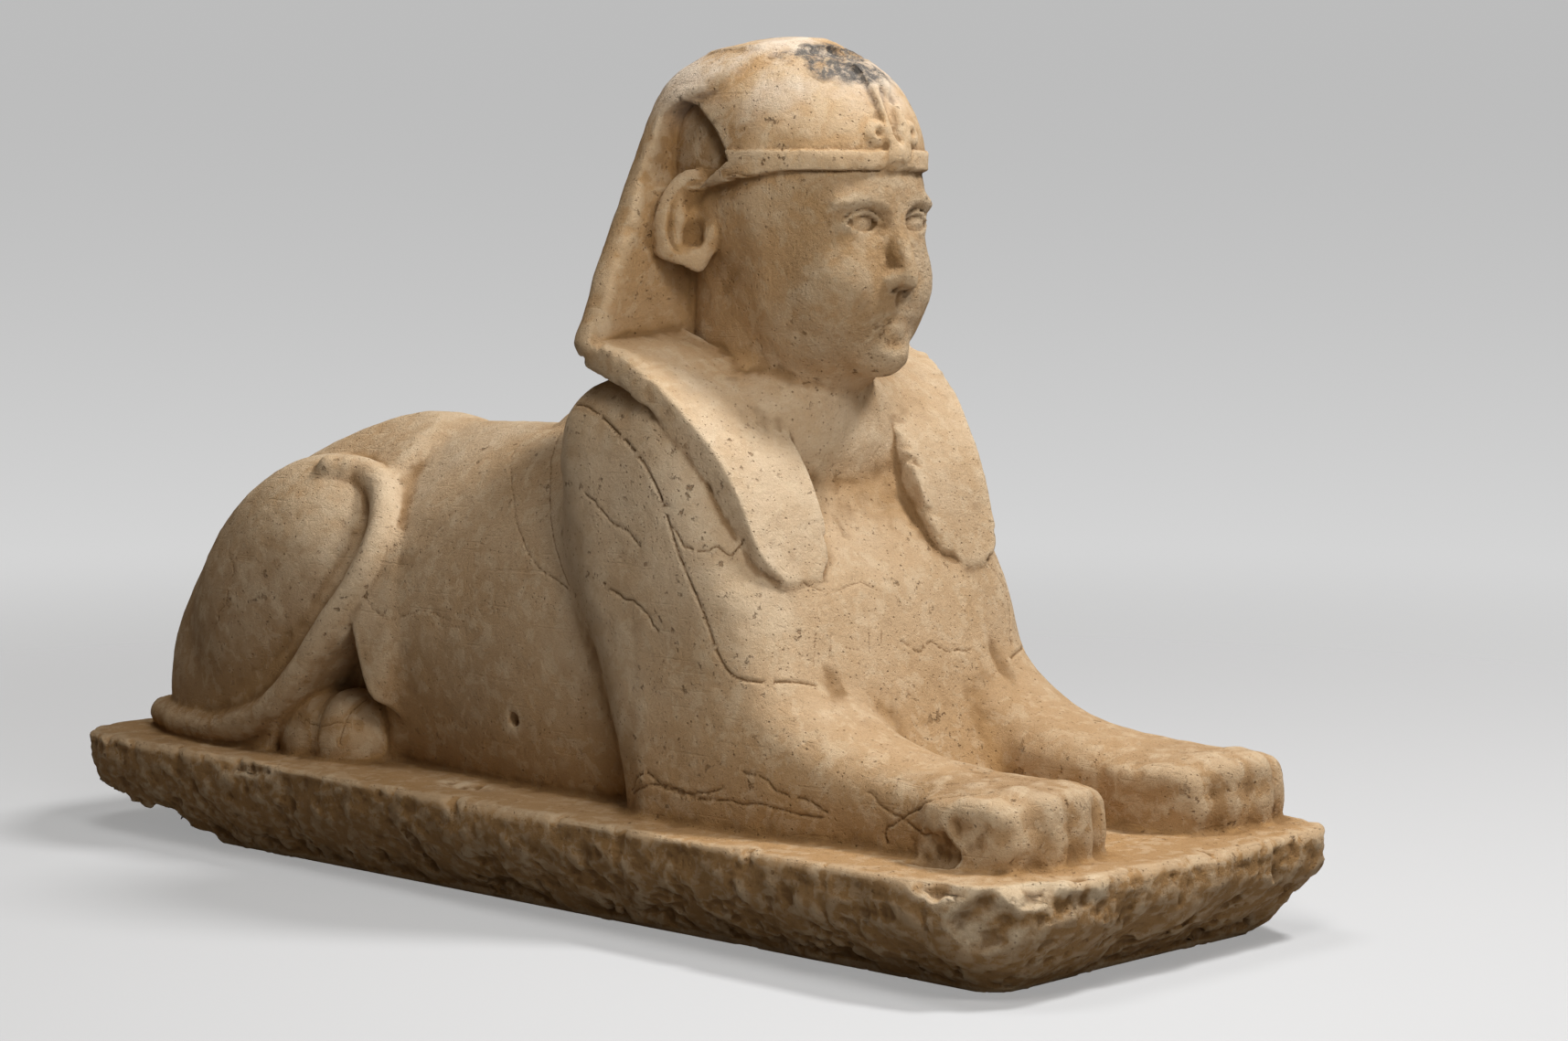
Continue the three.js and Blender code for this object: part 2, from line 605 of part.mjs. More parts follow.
/** Collapses the cheapest edges, by the squared distance to the planes that met there, to a target count. */
function thin({ points, faces }, target) {
  const around = points.map(() => new Set());
  faces.forEach((face, f) => face.forEach((v) => around[v].add(f)));
  const planes = points.map(() => new Float64Array(10));
  const edge1 = new THREE.Vector3();
  const edge2 = new THREE.Vector3();
  const normalOf = ([a, b, c], target3, swap = -1, place = null) => {
    const at = (v) => (v === swap ? place : points[v]);
    edge1.subVectors(at(b), at(a));
    edge2.subVectors(at(c), at(a));
    return target3.crossVectors(edge1, edge2);
  };
  const n = new THREE.Vector3();
  for (const face of faces) {
    normalOf(face, n);
    const area = n.length();
    if (area < 1e-9) continue;
    n.divideScalar(area);
    const w = area * care(points[face[0]]);
    const d = -n.dot(points[face[0]]);
    const terms = [n.x * n.x, n.x * n.y, n.x * n.z, n.x * d, n.y * n.y, n.y * n.z, n.y * d, n.z * n.z, n.z * d, d * d];
    for (const v of face) terms.forEach((term, i) => (planes[v][i] += w * term));
  }
  const errorAt = (q, p) =>
    q[0] * p.x * p.x + q[4] * p.y * p.y + q[7] * p.z * p.z + 2 * (q[1] * p.x * p.y + q[2] * p.x * p.z +
      q[5] * p.y * p.z + q[3] * p.x + q[6] * p.y + q[8] * p.z) + q[9];
  const solve = new THREE.Matrix3();
  const place = (a, b) => {
    const q = planes[a].map((v, i) => v + planes[b][i]);
    const middle = points[a].clone().add(points[b]).multiplyScalar(0.5);
    const pull = 1e-3 * (q[0] + q[4] + q[7]) + 1e-9;
    solve.set(q[0] + pull, q[1], q[2], q[1], q[4] + pull, q[5], q[2], q[5], q[7] + pull);
    const right = new THREE.Vector3(-q[3] + pull * middle.x, -q[6] + pull * middle.y, -q[8] + pull * middle.z);
    const best = right.applyMatrix3(solve.invert());
    const reach = points[a].distanceTo(points[b]);
    const spot = best.distanceTo(middle) < 1.5 * reach ? best : middle;
    return { spot, cost: Math.max(errorAt(q, spot), 0) + 1e-3 * pull * reach * reach };
  };
  const stamp = new Uint32Array(points.length);
  const queue = new Queue();
  const offer = (a, b) => queue.push({ a, b, seen: stamp[a] + stamp[b], ...place(a, b) });
  for (const face of faces)
    for (let i = 0; i < 3; i++) if (face[i] < face[(i + 1) % 3]) offer(face[i], face[(i + 1) % 3]);

  const neighbours = (v) => {
    const set = new Set();
    for (const f of around[v]) for (const w of faces[f]) if (w !== v) set.add(w);
    return set;
  };
  const before = new THREE.Vector3();
  const after = new THREE.Vector3();
  const turnsOver = (v, other, spot) => {
    for (const f of around[v]) {
      if (faces[f].includes(other)) continue;
      normalOf(faces[f], before);
      normalOf(faces[f], after, v, spot);
      const size = before.length() * after.length();
      if (before.dot(after) < 0.35 * size || after.length() < 0.02) return true;
    }
    return false;
  };
  let count = faces.length;
  while (count > target && queue.items.length) {
    const { a, b, seen, spot } = queue.pop();
    if (!points[a] || !points[b] || stamp[a] + stamp[b] !== seen) continue;
    const ringA = neighbours(a);
    const ringB = neighbours(b);
    if (!ringA.has(b)) continue;
    let shared = 0;
    for (const v of ringA) if (ringB.has(v)) shared++;
    if (shared !== 2 || turnsOver(a, b, spot) || turnsOver(b, a, spot)) continue;
    points[a] = spot;
    planes[b].forEach((v, i) => (planes[a][i] += v));
    for (const f of around[b]) {
      if (faces[f].includes(a)) {
        for (const v of faces[f]) if (v !== b) around[v].delete(f);
        faces[f] = null;
        count--;
      } else {
        faces[f] = faces[f].map((v) => (v === b ? a : v));
        around[a].add(f);
      }
    }
    points[b] = null;
    stamp[a]++;
    for (const v of neighbours(a)) offer(a, v);
  }
  return { points, faces: faces.filter(Boolean) };
}

// ---- Solid work: the saw cut under the plinth ---------------------------------------------------

const wasm = await Module();
wasm.setup();

function solid(vertProperties, triVerts) {
  return new wasm.Manifold(new wasm.Mesh({ numProp: 3, vertProperties, triVerts }));
}

function solidOfMesh({ points, faces }) {
  const used = new Map();
  const flat = [];
  points.forEach((p, i) => {
    if (!p) return;
    used.set(i, used.size);
    flat.push(p.x, p.y, p.z);
  });
  return solid(new Float32Array(flat), new Uint32Array(faces.flat().map((v) => used.get(v))));
}

/** Everything below z = 0, as a block with shared corners. */
function sawnOff() {
  const h = 60;
  const block = new THREE.BoxGeometry(2 * LENGTH, 2 * LENGTH, h).translate(0, 0, -h / 2);
  const corners = [...block.attributes.position.array];
  const shared = new Map();
  const index = [];
  const flat = [];
  for (const v of block.index.array) {
    const p = corners.slice(v * 3, v * 3 + 3);
    if (!shared.has(p.join())) {
      shared.set(p.join(), shared.size);
      flat.push(...p);
    }
    index.push(shared.get(p.join()));
  }
  return solid(new Float32Array(flat), new Uint32Array(index));
}

function geometryOf(body) {
  const mesh = body.getMesh();
  const geometry = new THREE.BufferGeometry();
  geometry.setAttribute("position", new THREE.BufferAttribute(mesh.vertProperties, 3));
  geometry.setIndex(new THREE.BufferAttribute(mesh.triVerts, 1));
  geometry.computeBoundingBox();
  const centre = geometry.boundingBox.getCenter(new THREE.Vector3());
  geometry.translate(-centre.x, -centre.y, 0);
  return geometry;
}

const limestone = new THREE.MeshStandardMaterial({ color: 0xc9ab80, roughness: 0.9, metalness: 0 });

const statue = new THREE.Mesh(geometryOf(solidOfMesh(thin(march(sampleField()), TRIANGLES)).subtract(sawnOff())), limestone);
statue.name = "sphinx";

const root = new THREE.Group();
root.add(statue);

export default root;
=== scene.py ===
"""A recumbent limestone sphinx in a royal headcloth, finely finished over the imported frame.

The carving is a field: a function that is negative inside the stone. It has the same parts
and dimensions as the plain solid, in millimetres: u runs to the statue's left from its middle
line, y to the rear and z up from the underside. The field is meshed closely, worn, chipped
and incised, and then dressed in one procedural limestone.
"""

import logging
import math
from dataclasses import dataclass
from typing import Callable

import bmesh
import bpy
import numpy as np
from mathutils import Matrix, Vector


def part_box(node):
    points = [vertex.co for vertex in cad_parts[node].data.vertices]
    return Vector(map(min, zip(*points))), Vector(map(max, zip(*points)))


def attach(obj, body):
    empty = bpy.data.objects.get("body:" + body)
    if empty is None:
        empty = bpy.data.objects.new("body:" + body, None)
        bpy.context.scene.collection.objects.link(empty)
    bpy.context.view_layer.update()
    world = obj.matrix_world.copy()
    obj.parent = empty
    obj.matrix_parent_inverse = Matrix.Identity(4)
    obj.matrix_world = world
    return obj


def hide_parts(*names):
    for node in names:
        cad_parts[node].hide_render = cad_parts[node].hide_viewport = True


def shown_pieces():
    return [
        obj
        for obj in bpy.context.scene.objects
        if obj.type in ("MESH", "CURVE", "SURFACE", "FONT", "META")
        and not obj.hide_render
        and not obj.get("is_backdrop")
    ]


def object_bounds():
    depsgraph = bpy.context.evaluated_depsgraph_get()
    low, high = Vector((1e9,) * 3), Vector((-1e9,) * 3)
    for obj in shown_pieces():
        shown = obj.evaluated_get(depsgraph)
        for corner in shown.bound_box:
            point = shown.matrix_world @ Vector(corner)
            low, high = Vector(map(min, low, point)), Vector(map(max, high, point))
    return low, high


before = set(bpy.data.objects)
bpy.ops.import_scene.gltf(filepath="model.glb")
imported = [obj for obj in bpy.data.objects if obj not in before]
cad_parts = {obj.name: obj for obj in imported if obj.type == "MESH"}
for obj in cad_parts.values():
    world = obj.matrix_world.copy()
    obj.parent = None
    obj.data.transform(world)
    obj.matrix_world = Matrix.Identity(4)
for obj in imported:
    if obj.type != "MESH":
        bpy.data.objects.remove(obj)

CAD_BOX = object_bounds()
LOG = logging.getLogger("sphinx")
Array = np.ndarray
Field = Callable[[Array, Array, Array], Array]
Socket = bpy.types.NodeSocket

MM = 0.001  # metres in a millimetre
FAR = 99.0  # field value given where a part is known to be far off
SEED = 41


# ---- Vocabulary of the field -----------------------------------------------------------


def mix(a: Array | float, b: Array | float, t: Array | float) -> Array | float:
    """Blends from a to b as t goes from 0 to 1."""
    return a + (b - a) * t


def ease(t: Array) -> Array:
    """Smooth step from 0 to 1."""
    t = np.clip(t, 0.0, 1.0)
    return t * t * (3.0 - 2.0 * t)


def join(a: Array, b: Array, soft: Array | float) -> Array:
    """Union of two fields with a fillet about soft wide."""
    h = np.maximum(soft - np.abs(a - b), 0.0)
    return np.minimum(a, b) - h * h / (4.0 * soft)


def overlap(a: Array, b: Array, soft: Array | float) -> Array:
    """Intersection of two fields with a rounded edge."""
    return -join(-a, -b, soft)


def cut(a: Array, b: Array, soft: Array | float) -> Array:
    """Field a with b taken out of it."""
    return -join(-a, b, soft)


def deepest(*fields: Array) -> Array:
    """Plain intersection of any number of fields.

    Args:
        fields: The fields.

    Returns:
        The largest of their values at each point.
    """
    out = fields[0]
    for one in fields[1:]:
        out = np.maximum(out, one)
    return out


def ellipsoid(x: Array, y: Array, z: Array, rx: float, ry: float, rz: float) -> Array:
    """Distance-like field of an ellipsoid about the origin.

    Args:
        x: Distance from the middle along the first axis.
        y: The same along the second.
        z: The same along the third.
        rx: Half length along the first axis.
        ry: Half length along the second.
        rz: Half length along the third.

    Returns:
        Field values, near to true distances close to the surface.
    """
    k = np.sqrt((x / rx) ** 2 + (y / ry) ** 2 + (z / rz) ** 2)
    steep = np.sqrt((x / rx**2) ** 2 + (y / ry**2) ** 2 + (z / rz**2) ** 2)
    out = k * (k - 1.0) / np.maximum(steep, 1e-9)
    return np.where(k < 0.05, -0.95 * min(rx, ry, rz), out)


def oblong(a: Array, b: Array, ra: Array, rb: Array, power: Array | float) -> Array:
    """Rounded oblong in a plane: power 2 is an ellipse, and higher is squarer.

    Args:
        a: Distance from the middle along the first axis.
        b: The same along the second.
        ra: Half length along the first axis.
        rb: Half length along the second.
        power: How square it is.

    Returns:
        Field values, near to true distances close to the outline.
    """
    s = np.maximum(np.abs(a) / ra, 1e-6)
    t = np.maximum(np.abs(b) / rb, 1e-6)
    n = (s**power + t**power) ** (1.0 / power)
    steep = np.hypot((s / n) ** (power - 1) / ra, (t / n) ** (power - 1) / rb)
    return np.where(n < 0.05, -0.95 * np.minimum(ra, rb), (n - 1.0) / steep)


def only(mask: Array, field: Field, *at: Array) -> Array:
    """Evaluates a field where the mask is true.

    Args:
        mask: True at the points worth evaluating.
        field: The field.
        at: Its coordinates, each as long as the mask.

    Returns:
        The field's values, and a large value at the other points.
    """
    out = np.full(mask.shape, FAR * 10)
    if mask.any():
        out[mask] = field(*(c[mask] for c in at))
    return out


class Profile:
    """Smooth functions of one variable through the rows of a table."""

    def __init__(self, *rows: tuple) -> None:
        """Takes rows of place, value, value and so on.

        Args:
            rows: The rows, in rising order of place.
        """
        table = np.array(rows, float)
        self.at = table[:, 0]
        self.values = table[:, 1:].T
        order = np.arange(len(self.at))
        low = np.maximum(order - 1, 0)
        high = np.minimum(order + 1, len(order) - 1)
        self.slopes = (self.values[:, high] - self.values[:, low]) / (self.at[high] - self.at[low])

    def __call__(self, x: Array) -> list[Array]:
        """Returns one array for each column of values.

        Args:
            x: The places; beyond the table its end rows hold.

        Returns:
            The columns at those places.
        """
        x = np.clip(x, self.at[0], self.at[-1])
        i = np.clip(np.searchsorted(self.at, x) - 1, 0, len(self.at) - 2)
        span = self.at[i + 1] - self.at[i]
        t = (x - self.at[i]) / span
        return [
            (1 - t) ** 2 * (v[i] * (1 + 2 * t) + s[i] * span * t)
            + t**2 * (v[i + 1] * (3 - 2 * t) - s[i + 1] * span * (1 - t))
            for v, s in zip(self.values, self.slopes)
        ]


def close_to(path: Array, reach: float, points: Array) -> Array:
    """Finds the points within reach of a path's bounding box.

    Args:
        path: The path's points.
        reach: How far outside the box a point may lie.
        points: The points to sort, one to a row.

    Returns:
        True for each point that is close.
    """
    low = path.min(axis=0) - reach
    high = path.max(axis=0) + reach
    return np.all((points > low) & (points < high), axis=-1)


def smooth_path(points: list, count: int) -> Array:
    """Runs a smooth curve through a few points.

    Args:
        points: The points, each of three numbers.
        count: How many stretches to return.

    Returns:
        count + 1 points along the curve.
    """
    p = np.array(points, float)
    p = np.vstack([2 * p[0] - p[1], p, 2 * p[-1] - p[-2]])
    gaps = np.maximum(np.sum(np.diff(p, axis=0) ** 2, axis=1) ** 0.25, 1e-4)
    out = []
    for t in np.linspace(0, len(points) - 1, count + 1):
        i = min(int(t), len(points) - 2)
        w = t - i
        p0, p1, p2, p3 = p[i : i + 4]
        d0, d1, d2 = gaps[i : i + 3]
        m1 = ((p1 - p0) / d0 - (p2 - p0) / (d0 + d1) + (p2 - p1) / d1) * d1
        m2 = ((p2 - p1) / d1 - (p3 - p1) / (d1 + d2) + (p3 - p2) / d2) * d1
        square = -3 * p1 + 3 * p2 - 2 * m1 - m2
        cube = 2 * p1 - 2 * p2 + m1 + m2
        out.append(p1 + m1 * w + square * w * w + cube * w**3)
    return np.array(out)


class Cord:
    """Round cord along a path, with a radius that may change along it."""

    REACH = 40.0

    def __init__(self, path: Array, radius: Callable[[Array], Array]) -> None:
        """Takes the path's points and its radius as a function of 0 to 1."""
        self.path = path
        self.radius = radius

    def __call__(self, u: Array, y: Array, z: Array) -> Array:
        """Field of the cord."""
        near = close_to(self.path, self.REACH, np.stack([u, y, z], axis=-1))
        return only(near, self._near, u, y, z)

    def _near(self, u: Array, y: Array, z: Array) -> Array:
        """The same, for points known to be close.

        Args:
            u: Millimetres to the left of the figure's middle line.
            y: Millimetres to the rear.
            z: Millimetres above the underside.

        Returns:
            Field values, negative inside the stone.
        """
        p = np.stack([u, y, z], axis=-1)
        best = np.full(u.shape, FAR)
        links = len(self.path) - 1
        for i in range(links):
            along = self.path[i + 1] - self.path[i]
            t = np.clip((p - self.path[i]) @ along / (along @ along), 0, 1)
            away = np.linalg.norm(p - self.path[i] - t[:, None] * along, axis=-1)
            best = np.minimum(best, away - self.radius((i + t) / links))
        return best


class Strap:
    """Band of even thickness between two edge paths, its far end rounded off."""

    REACH = 90.0
    ROUNDING = 8.0
    TAPER_FROM = 0.86
    EDGE = 4.0

    def __init__(self, outer: Array, inner: Array, thickness: float) -> None:
        """Takes the two edges, which have as many points each, and the thickness.

        Args:
            outer: Points of the outer edge.
            inner: Points of the inner edge.
            thickness: The thickness.
        """
        self.middle = (outer + inner) / 2
        across = outer - inner
        width = np.linalg.norm(across, axis=1)
        self.across = across / width[:, None]
        t = np.linspace(0, 1, len(outer))
        end = np.clip((t - self.TAPER_FROM) / (1 - self.TAPER_FROM), 0, 1)
        self.half = width / 2 * np.sqrt(1 - 0.6 * end * end)
        self.thickness = thickness

    def __call__(self, u: Array, y: Array, z: Array, bite: Array) -> Array:
        """Field of the strap, its edges worn back by bite."""
        near = close_to(self.middle, self.REACH, np.stack([u, y, z], axis=-1))
        return only(near, self._near, u, y, z, bite)

    def _near(self, u: Array, y: Array, z: Array, bite: Array) -> Array:
        """The same, for points known to be close.

        Args:
            u: Millimetres to the left of the figure's middle line.
            y: Millimetres to the rear.
            z: Millimetres above the underside.
            bite: How far the sharp edges are worn back.

        Returns:
            Field values, negative inside the stone.
        """
        p = np.stack([u, y, z], axis=-1)
        best = np.full(u.shape, 1e9)
        link = np.zeros(u.shape, int)
        place = np.zeros(u.shape)
        for i in range(len(self.middle) - 1):
            along = self.middle[i + 1] - self.middle[i]
            t = np.clip((p - self.middle[i]) @ along / (along @ along), 0, 1)
            away = np.sum((p - self.middle[i] - t[:, None] * along) ** 2, axis=-1)
            nearer = away < best
            best = np.where(nearer, away, best)
            link = np.where(nearer, i, link)
            place = np.where(nearer, t, place)
        t = place[:, None]
        along = self.middle[link + 1] - self.middle[link]
        p = p - self.middle[link] - t * along
        along /= np.linalg.norm(along, axis=1, keepdims=True)
        across = mix(self.across[link], self.across[link + 1], t)
        across -= along * np.sum(across * along, axis=1, keepdims=True)
        across /= np.linalg.norm(across, axis=1, keepdims=True)
        facing = np.cross(along, across)
        half = mix(self.half[link], self.half[link + 1], place)
        a = np.abs(np.sum(p * across, axis=1)) - half
        b = np.abs(np.sum(p * facing, axis=1)) - self.thickness / 2
        beyond = np.sum(p * along, axis=1)
        section = overlap(a + 0.25 * bite, b, self.EDGE + 2.4 * bite)
        return np.hypot(np.maximum(section + self.ROUNDING, 0), beyond) - self.ROUNDING


class Grain:
    """Repeatable smooth noise in space."""

    SIDE = 32

    def __init__(self, seed: int) -> None:
        """Fills one tile of random values."""
        self.tile = np.random.default_rng(seed).uniform(-1, 1, (self.SIDE,) * 3)

    def at(self, p: Array, size: float) -> Array:
        """Noise between -1 and 1 with bumps about size across.

        Args:
            p: Points, one to a row.
            size: How far apart the bumps are.

        Returns:
            The noise at each point.
        """
        q = p / size
        base = np.floor(q).astype(int)
        w = q - base
        w = w * w * (3 - 2 * w)
        out = np.zeros(len(p))
        for corner in range(8):
            step = np.array([corner & 1, corner >> 1 & 1, corner >> 2])
            i, j, k = ((base + step) % self.SIDE).T
            weight = np.prod(np.where(step, w, 1 - w), axis=1)
            out += weight * self.tile[i, j, k]
        return out

    def rough(self, p: Array, size: float, layers: int = 3) -> Array:
        """Noise with finer bumps on the larger ones."""
        return sum(self.at(p + 17.3 * n, size / 2**n) / 2**n for n in range(layers))


def uneven(x: Array, y: Array, z: Array, size: float) -> Array:
    """Slow unevenness between -1 and 1, with bumps about size across.

    Args:
        x: Millimetres to the left of the plinth's middle.
        y: Millimetres to the rear.
        z: Millimetres above the underside.
        size: How far apart the bumps are.

    Returns:
        The unevenness at each point.
    """
    k = 6.2832 / size
    first = np.sin(k * (x + 0.6 * y + 31)) * np.sin(k * (0.8 * y - 0.5 * z + 7))
    second = np.sin(1.7 * k * (z - 0.4 * x + 13)) * np.sin(1.3 * k * (y + 0.7 * x + 3))
    return (first + second) / 2


# ---- Parts of the carving --------------------------------------------------------------


@dataclass(frozen=True)
class Lump:
    """A rounded mass: its middle, its half lengths and the fillet to what it joins."""

    middle: tuple
    half: tuple
    soft: float = 0.0

    def field(self, a: Array, y: Array, z: Array) -> Array:
        """Field of the mass."""
        out, rear, high = self.middle
        return ellipsoid(a - out, y - rear, z - high, *self.half)


def gathered(lumps: tuple, a: Array, y: Array, z: Array) -> Array:
    """Joins lumps one after another.

    Args:
        lumps: The lumps, the first of them the core.
        a: Millimetres from the figure's middle line, to either side.
        y: Millimetres to the rear.
        z: Millimetres above the underside.

    Returns:
        Field values, negative inside the stone.
    """
    d = lumps[0].field(a, y, z)
    for lump in lumps[1:]:
        d = join(d, lump.field(a, y, z), lump.soft)
    return d


@dataclass(frozen=True)
class Plinth:
    """Low plinth with a worn outline, its underside curling up to the sides and the rear."""

    length: float = 1262.0
    top: float = 95.0
    right_half: float = 227.0
    right_half_rear: float = 200.0
    left_half: float = 227.0
    saw_allowance: float = 8.0

    def field(self, x: Array, y: Array, z: Array, bite: Array) -> Array:
        """Field of the plinth, x counted from its own middle and its edges worn back by bite.

        Args:
            x: Millimetres to the left of the plinth's middle.
            y: Millimetres to the rear.
            z: Millimetres above the underside.
            bite: How far the sharp edges are worn back.

        Returns:
            Field values, negative inside the stone.
        """
        along = y / self.length + 0.5
        right = mix(self.right_half, self.right_half_rear, along)
        half = np.where(x < 0, right, self.left_half)
        corner = np.where(y > 0, 66.0, np.where(x < 0, 84.0, 50.0))
        a = np.abs(x) - half + corner
        b = np.abs(y) - self.length / 2 + corner
        inner = np.minimum(np.maximum(a, b), 0)
        outline = inner + np.hypot(np.maximum(a, 0), np.maximum(b, 0)) - corner
        rim = 58 * np.clip(1 + outline / mix(76.0, 40.0, along), 0, 1) ** 1.5
        end = 48 * np.clip((y - 395) / (self.length / 2 - 395), 0, 1)
        lift = np.maximum(rim, end)
        under = lift - self.saw_allowance * (1 - np.clip(lift / 8, 0, 1))
        wave = 3 * uneven(x, y, z, 95) * np.clip((self.top - z) / 25, 0, 1)
        upper = overlap(outline + wave + 0.5 * bite, z - self.top, 7 + 2.2 * bite)
        rough = np.where(under > 4, 4 * uneven(x, y, z, 120) + 1.5 * bite, 0)
        return np.maximum(overlap(upper, 0.8 * (under - z) + rough, 10), -z)


@dataclass(frozen=True)
class Trunk:
    """Body, haunches and tail."""

    haunch_half: float = 180.0
    rump_end: float = 594.0
    rump_middle: float = 318.0
    rump_low: float = 142.0
    rump_power: float = 1.78
    back_top: float = 414.0
    belly_height: float = 215.0
    torso_middle: float = 140.0
    torso_half: float = 280.0
    thigh_tilt: float = 0.9
    thigh_middle: tuple = (92.0, 416.0, 238.0)
    thigh_size: tuple = (97.0, 168.0, 119.0)
    plinth_top: float = 95.0
    tail_radius: float = 14.0

    BELLY = Profile(
        (-140, 422, 160, 2.35), (-40, 422, 164, 2.35), (40, 420, 166, 2.1),
        (110, 416, 164, 1.85), (200, 414, 161, 1.65), (260, 411, 145, 1.6),
        (330, 406, 120, 1.6), (420, 380, 90, 1.6),
    )
    HAUNCH_FRONT = Profile(
        (95, 226), (130, 216), (165, 202), (200, 191), (230, 190), (266, 199), (299, 212),
        (330, 236), (370, 270),
    )
    HIND_TOES = (
        Lump((140, 320, 110), (42, 48, 48)),
        Lump((139, 270, 110), (42, 45, 51), 6),
    )
    TAIL_BEHIND = ((8, 584, 172), (-22, 599, 134), (-76, 601, 112), (-128, 592, 108))
    TAIL_BESIDE = (
        (546, 108), (500, 107), (415, 114), (349, 141), (305, 183), (272, 230),
        (248, 271), (243, 301), (254, 331), (278, 352), (306, 364), (332, 369),
    )

    def torso(self, u: Array, y: Array, z: Array) -> Array:
        """The barrel of the body.

        Args:
            u: Millimetres to the left of the figure's middle line.
            y: Millimetres to the rear.
            z: Millimetres above the underside.

        Returns:
            Field values, negative inside the stone.
        """
        top, half, power = self.BELLY(y)
        above = z - self.belly_height
        rise = np.where(above > 0, top - self.belly_height, 265.0)
        section = oblong(u, above, half, rise, power)
        return np.maximum(section, np.abs(y - self.torso_middle) - self.torso_half)

    def rump(self, u: Array, y: Array, z: Array) -> Array:
        """The swelling mass of the hindquarters, squarer in plan than in height.

        Args:
            u: Millimetres to the left of the figure's middle line.
            y: Millimetres to the rear.
            z: Millimetres above the underside.

        Returns:
            Field values, negative inside the stone.
        """
        wide = (np.abs(u) / self.haunch_half) ** 4
        deep = (np.abs(y - self.rump_middle) / (self.rump_end - self.rump_middle)) ** 4
        plan = (wide + deep) ** 0.25
        high = np.maximum(z - self.rump_low, 0) / (self.back_top - self.rump_low)
        power = self.rump_power
        return ((plan**power + high**power) ** (1 / power) - 1) * 165

    def thigh(self, a: Array, y: Array, z: Array) -> Array:
        """The raised thigh, its long axis from the upper front down to the rear.

        Args:
            a: Millimetres from the figure's middle line, to either side.
            y: Millimetres to the rear.
            z: Millimetres above the underside.

        Returns:
            Field values, negative inside the stone.
        """
        out, rear, height = self.thigh_middle
        level, upright = math.cos(self.thigh_tilt), math.sin(self.thigh_tilt)
        long = (y - rear) * level - (z - height) * upright
        short = (y - rear) * upright + (z - height) * level
        return ellipsoid(a - out, long, short + 15, *self.thigh_size)

    def haunches(self, u: Array, y: Array, z: Array) -> Array:
        """Rump and thighs, ending to the front in a line proud of the belly."""
        mass = overlap(self.rump(u, y, z), self.HAUNCH_FRONT(z)[0] - y, 14)
        return join(mass, self.thigh(np.abs(u), y, z), 5)

    def arch(self, a: Array, y: Array, z: Array) -> Array:
        """Hollow under the flank where the hind paw lies.

        Args:
            a: Millimetres from the figure's middle line, to either side.
            y: Millimetres to the rear.
            z: Millimetres above the underside.

        Returns:
            Field values, negative inside the stone.
        """
        height = z - self.plinth_top
        rear = 362 - 0.86 * height
        front = 196 + 0.6 * np.maximum(height - 40, 0) - 22 * np.clip((30 - height) / 25, 0, 1)
        span = np.maximum(front - y, y - rear) * 0.75
        wall = mix(158.0, 124.0, np.clip((y - 170) / 110, 0, 1))
        return np.maximum(span, wall - a)

    def hind_paw(self, a: Array, y: Array, z: Array) -> Array:
        """Two rounded toes peeping out of the arch."""
        return gathered(self.HIND_TOES, a, y, z)

    def on_haunch(self, y: Array, z: Array) -> Array:
        """How far to the statue's right the haunch's surface lies, at places in side view.

        Args:
            y: Millimetres to the rear.
            z: Millimetres above the underside.

        Returns:
            Negative u of the surface at each place.
        """
        outer = np.full(y.shape, -260.0)
        inner = np.zeros(y.shape)
        for _ in range(30):
            middle = (outer + inner) / 2
            outside = self.haunches(middle, y, z) > 0
            outer = np.where(outside, middle, outer)
            inner = np.where(outside, inner, middle)
        return outer

    def tail(self) -> Cord:
        """The tail, from the rump round the right haunch to its hooked end.

        Returns:
            The tail as a cord lying on the haunch.
        """
        y, z = np.array(self.TAIL_BESIDE, float).T
        beside = np.stack([self.on_haunch(y, z) - 1, y, z], axis=-1)
        path = smooth_path([*self.TAIL_BEHIND, *beside], 60)
        return Cord(path, lambda t: np.where(t > 0.97, self.tail_radius - 2, self.tail_radius))


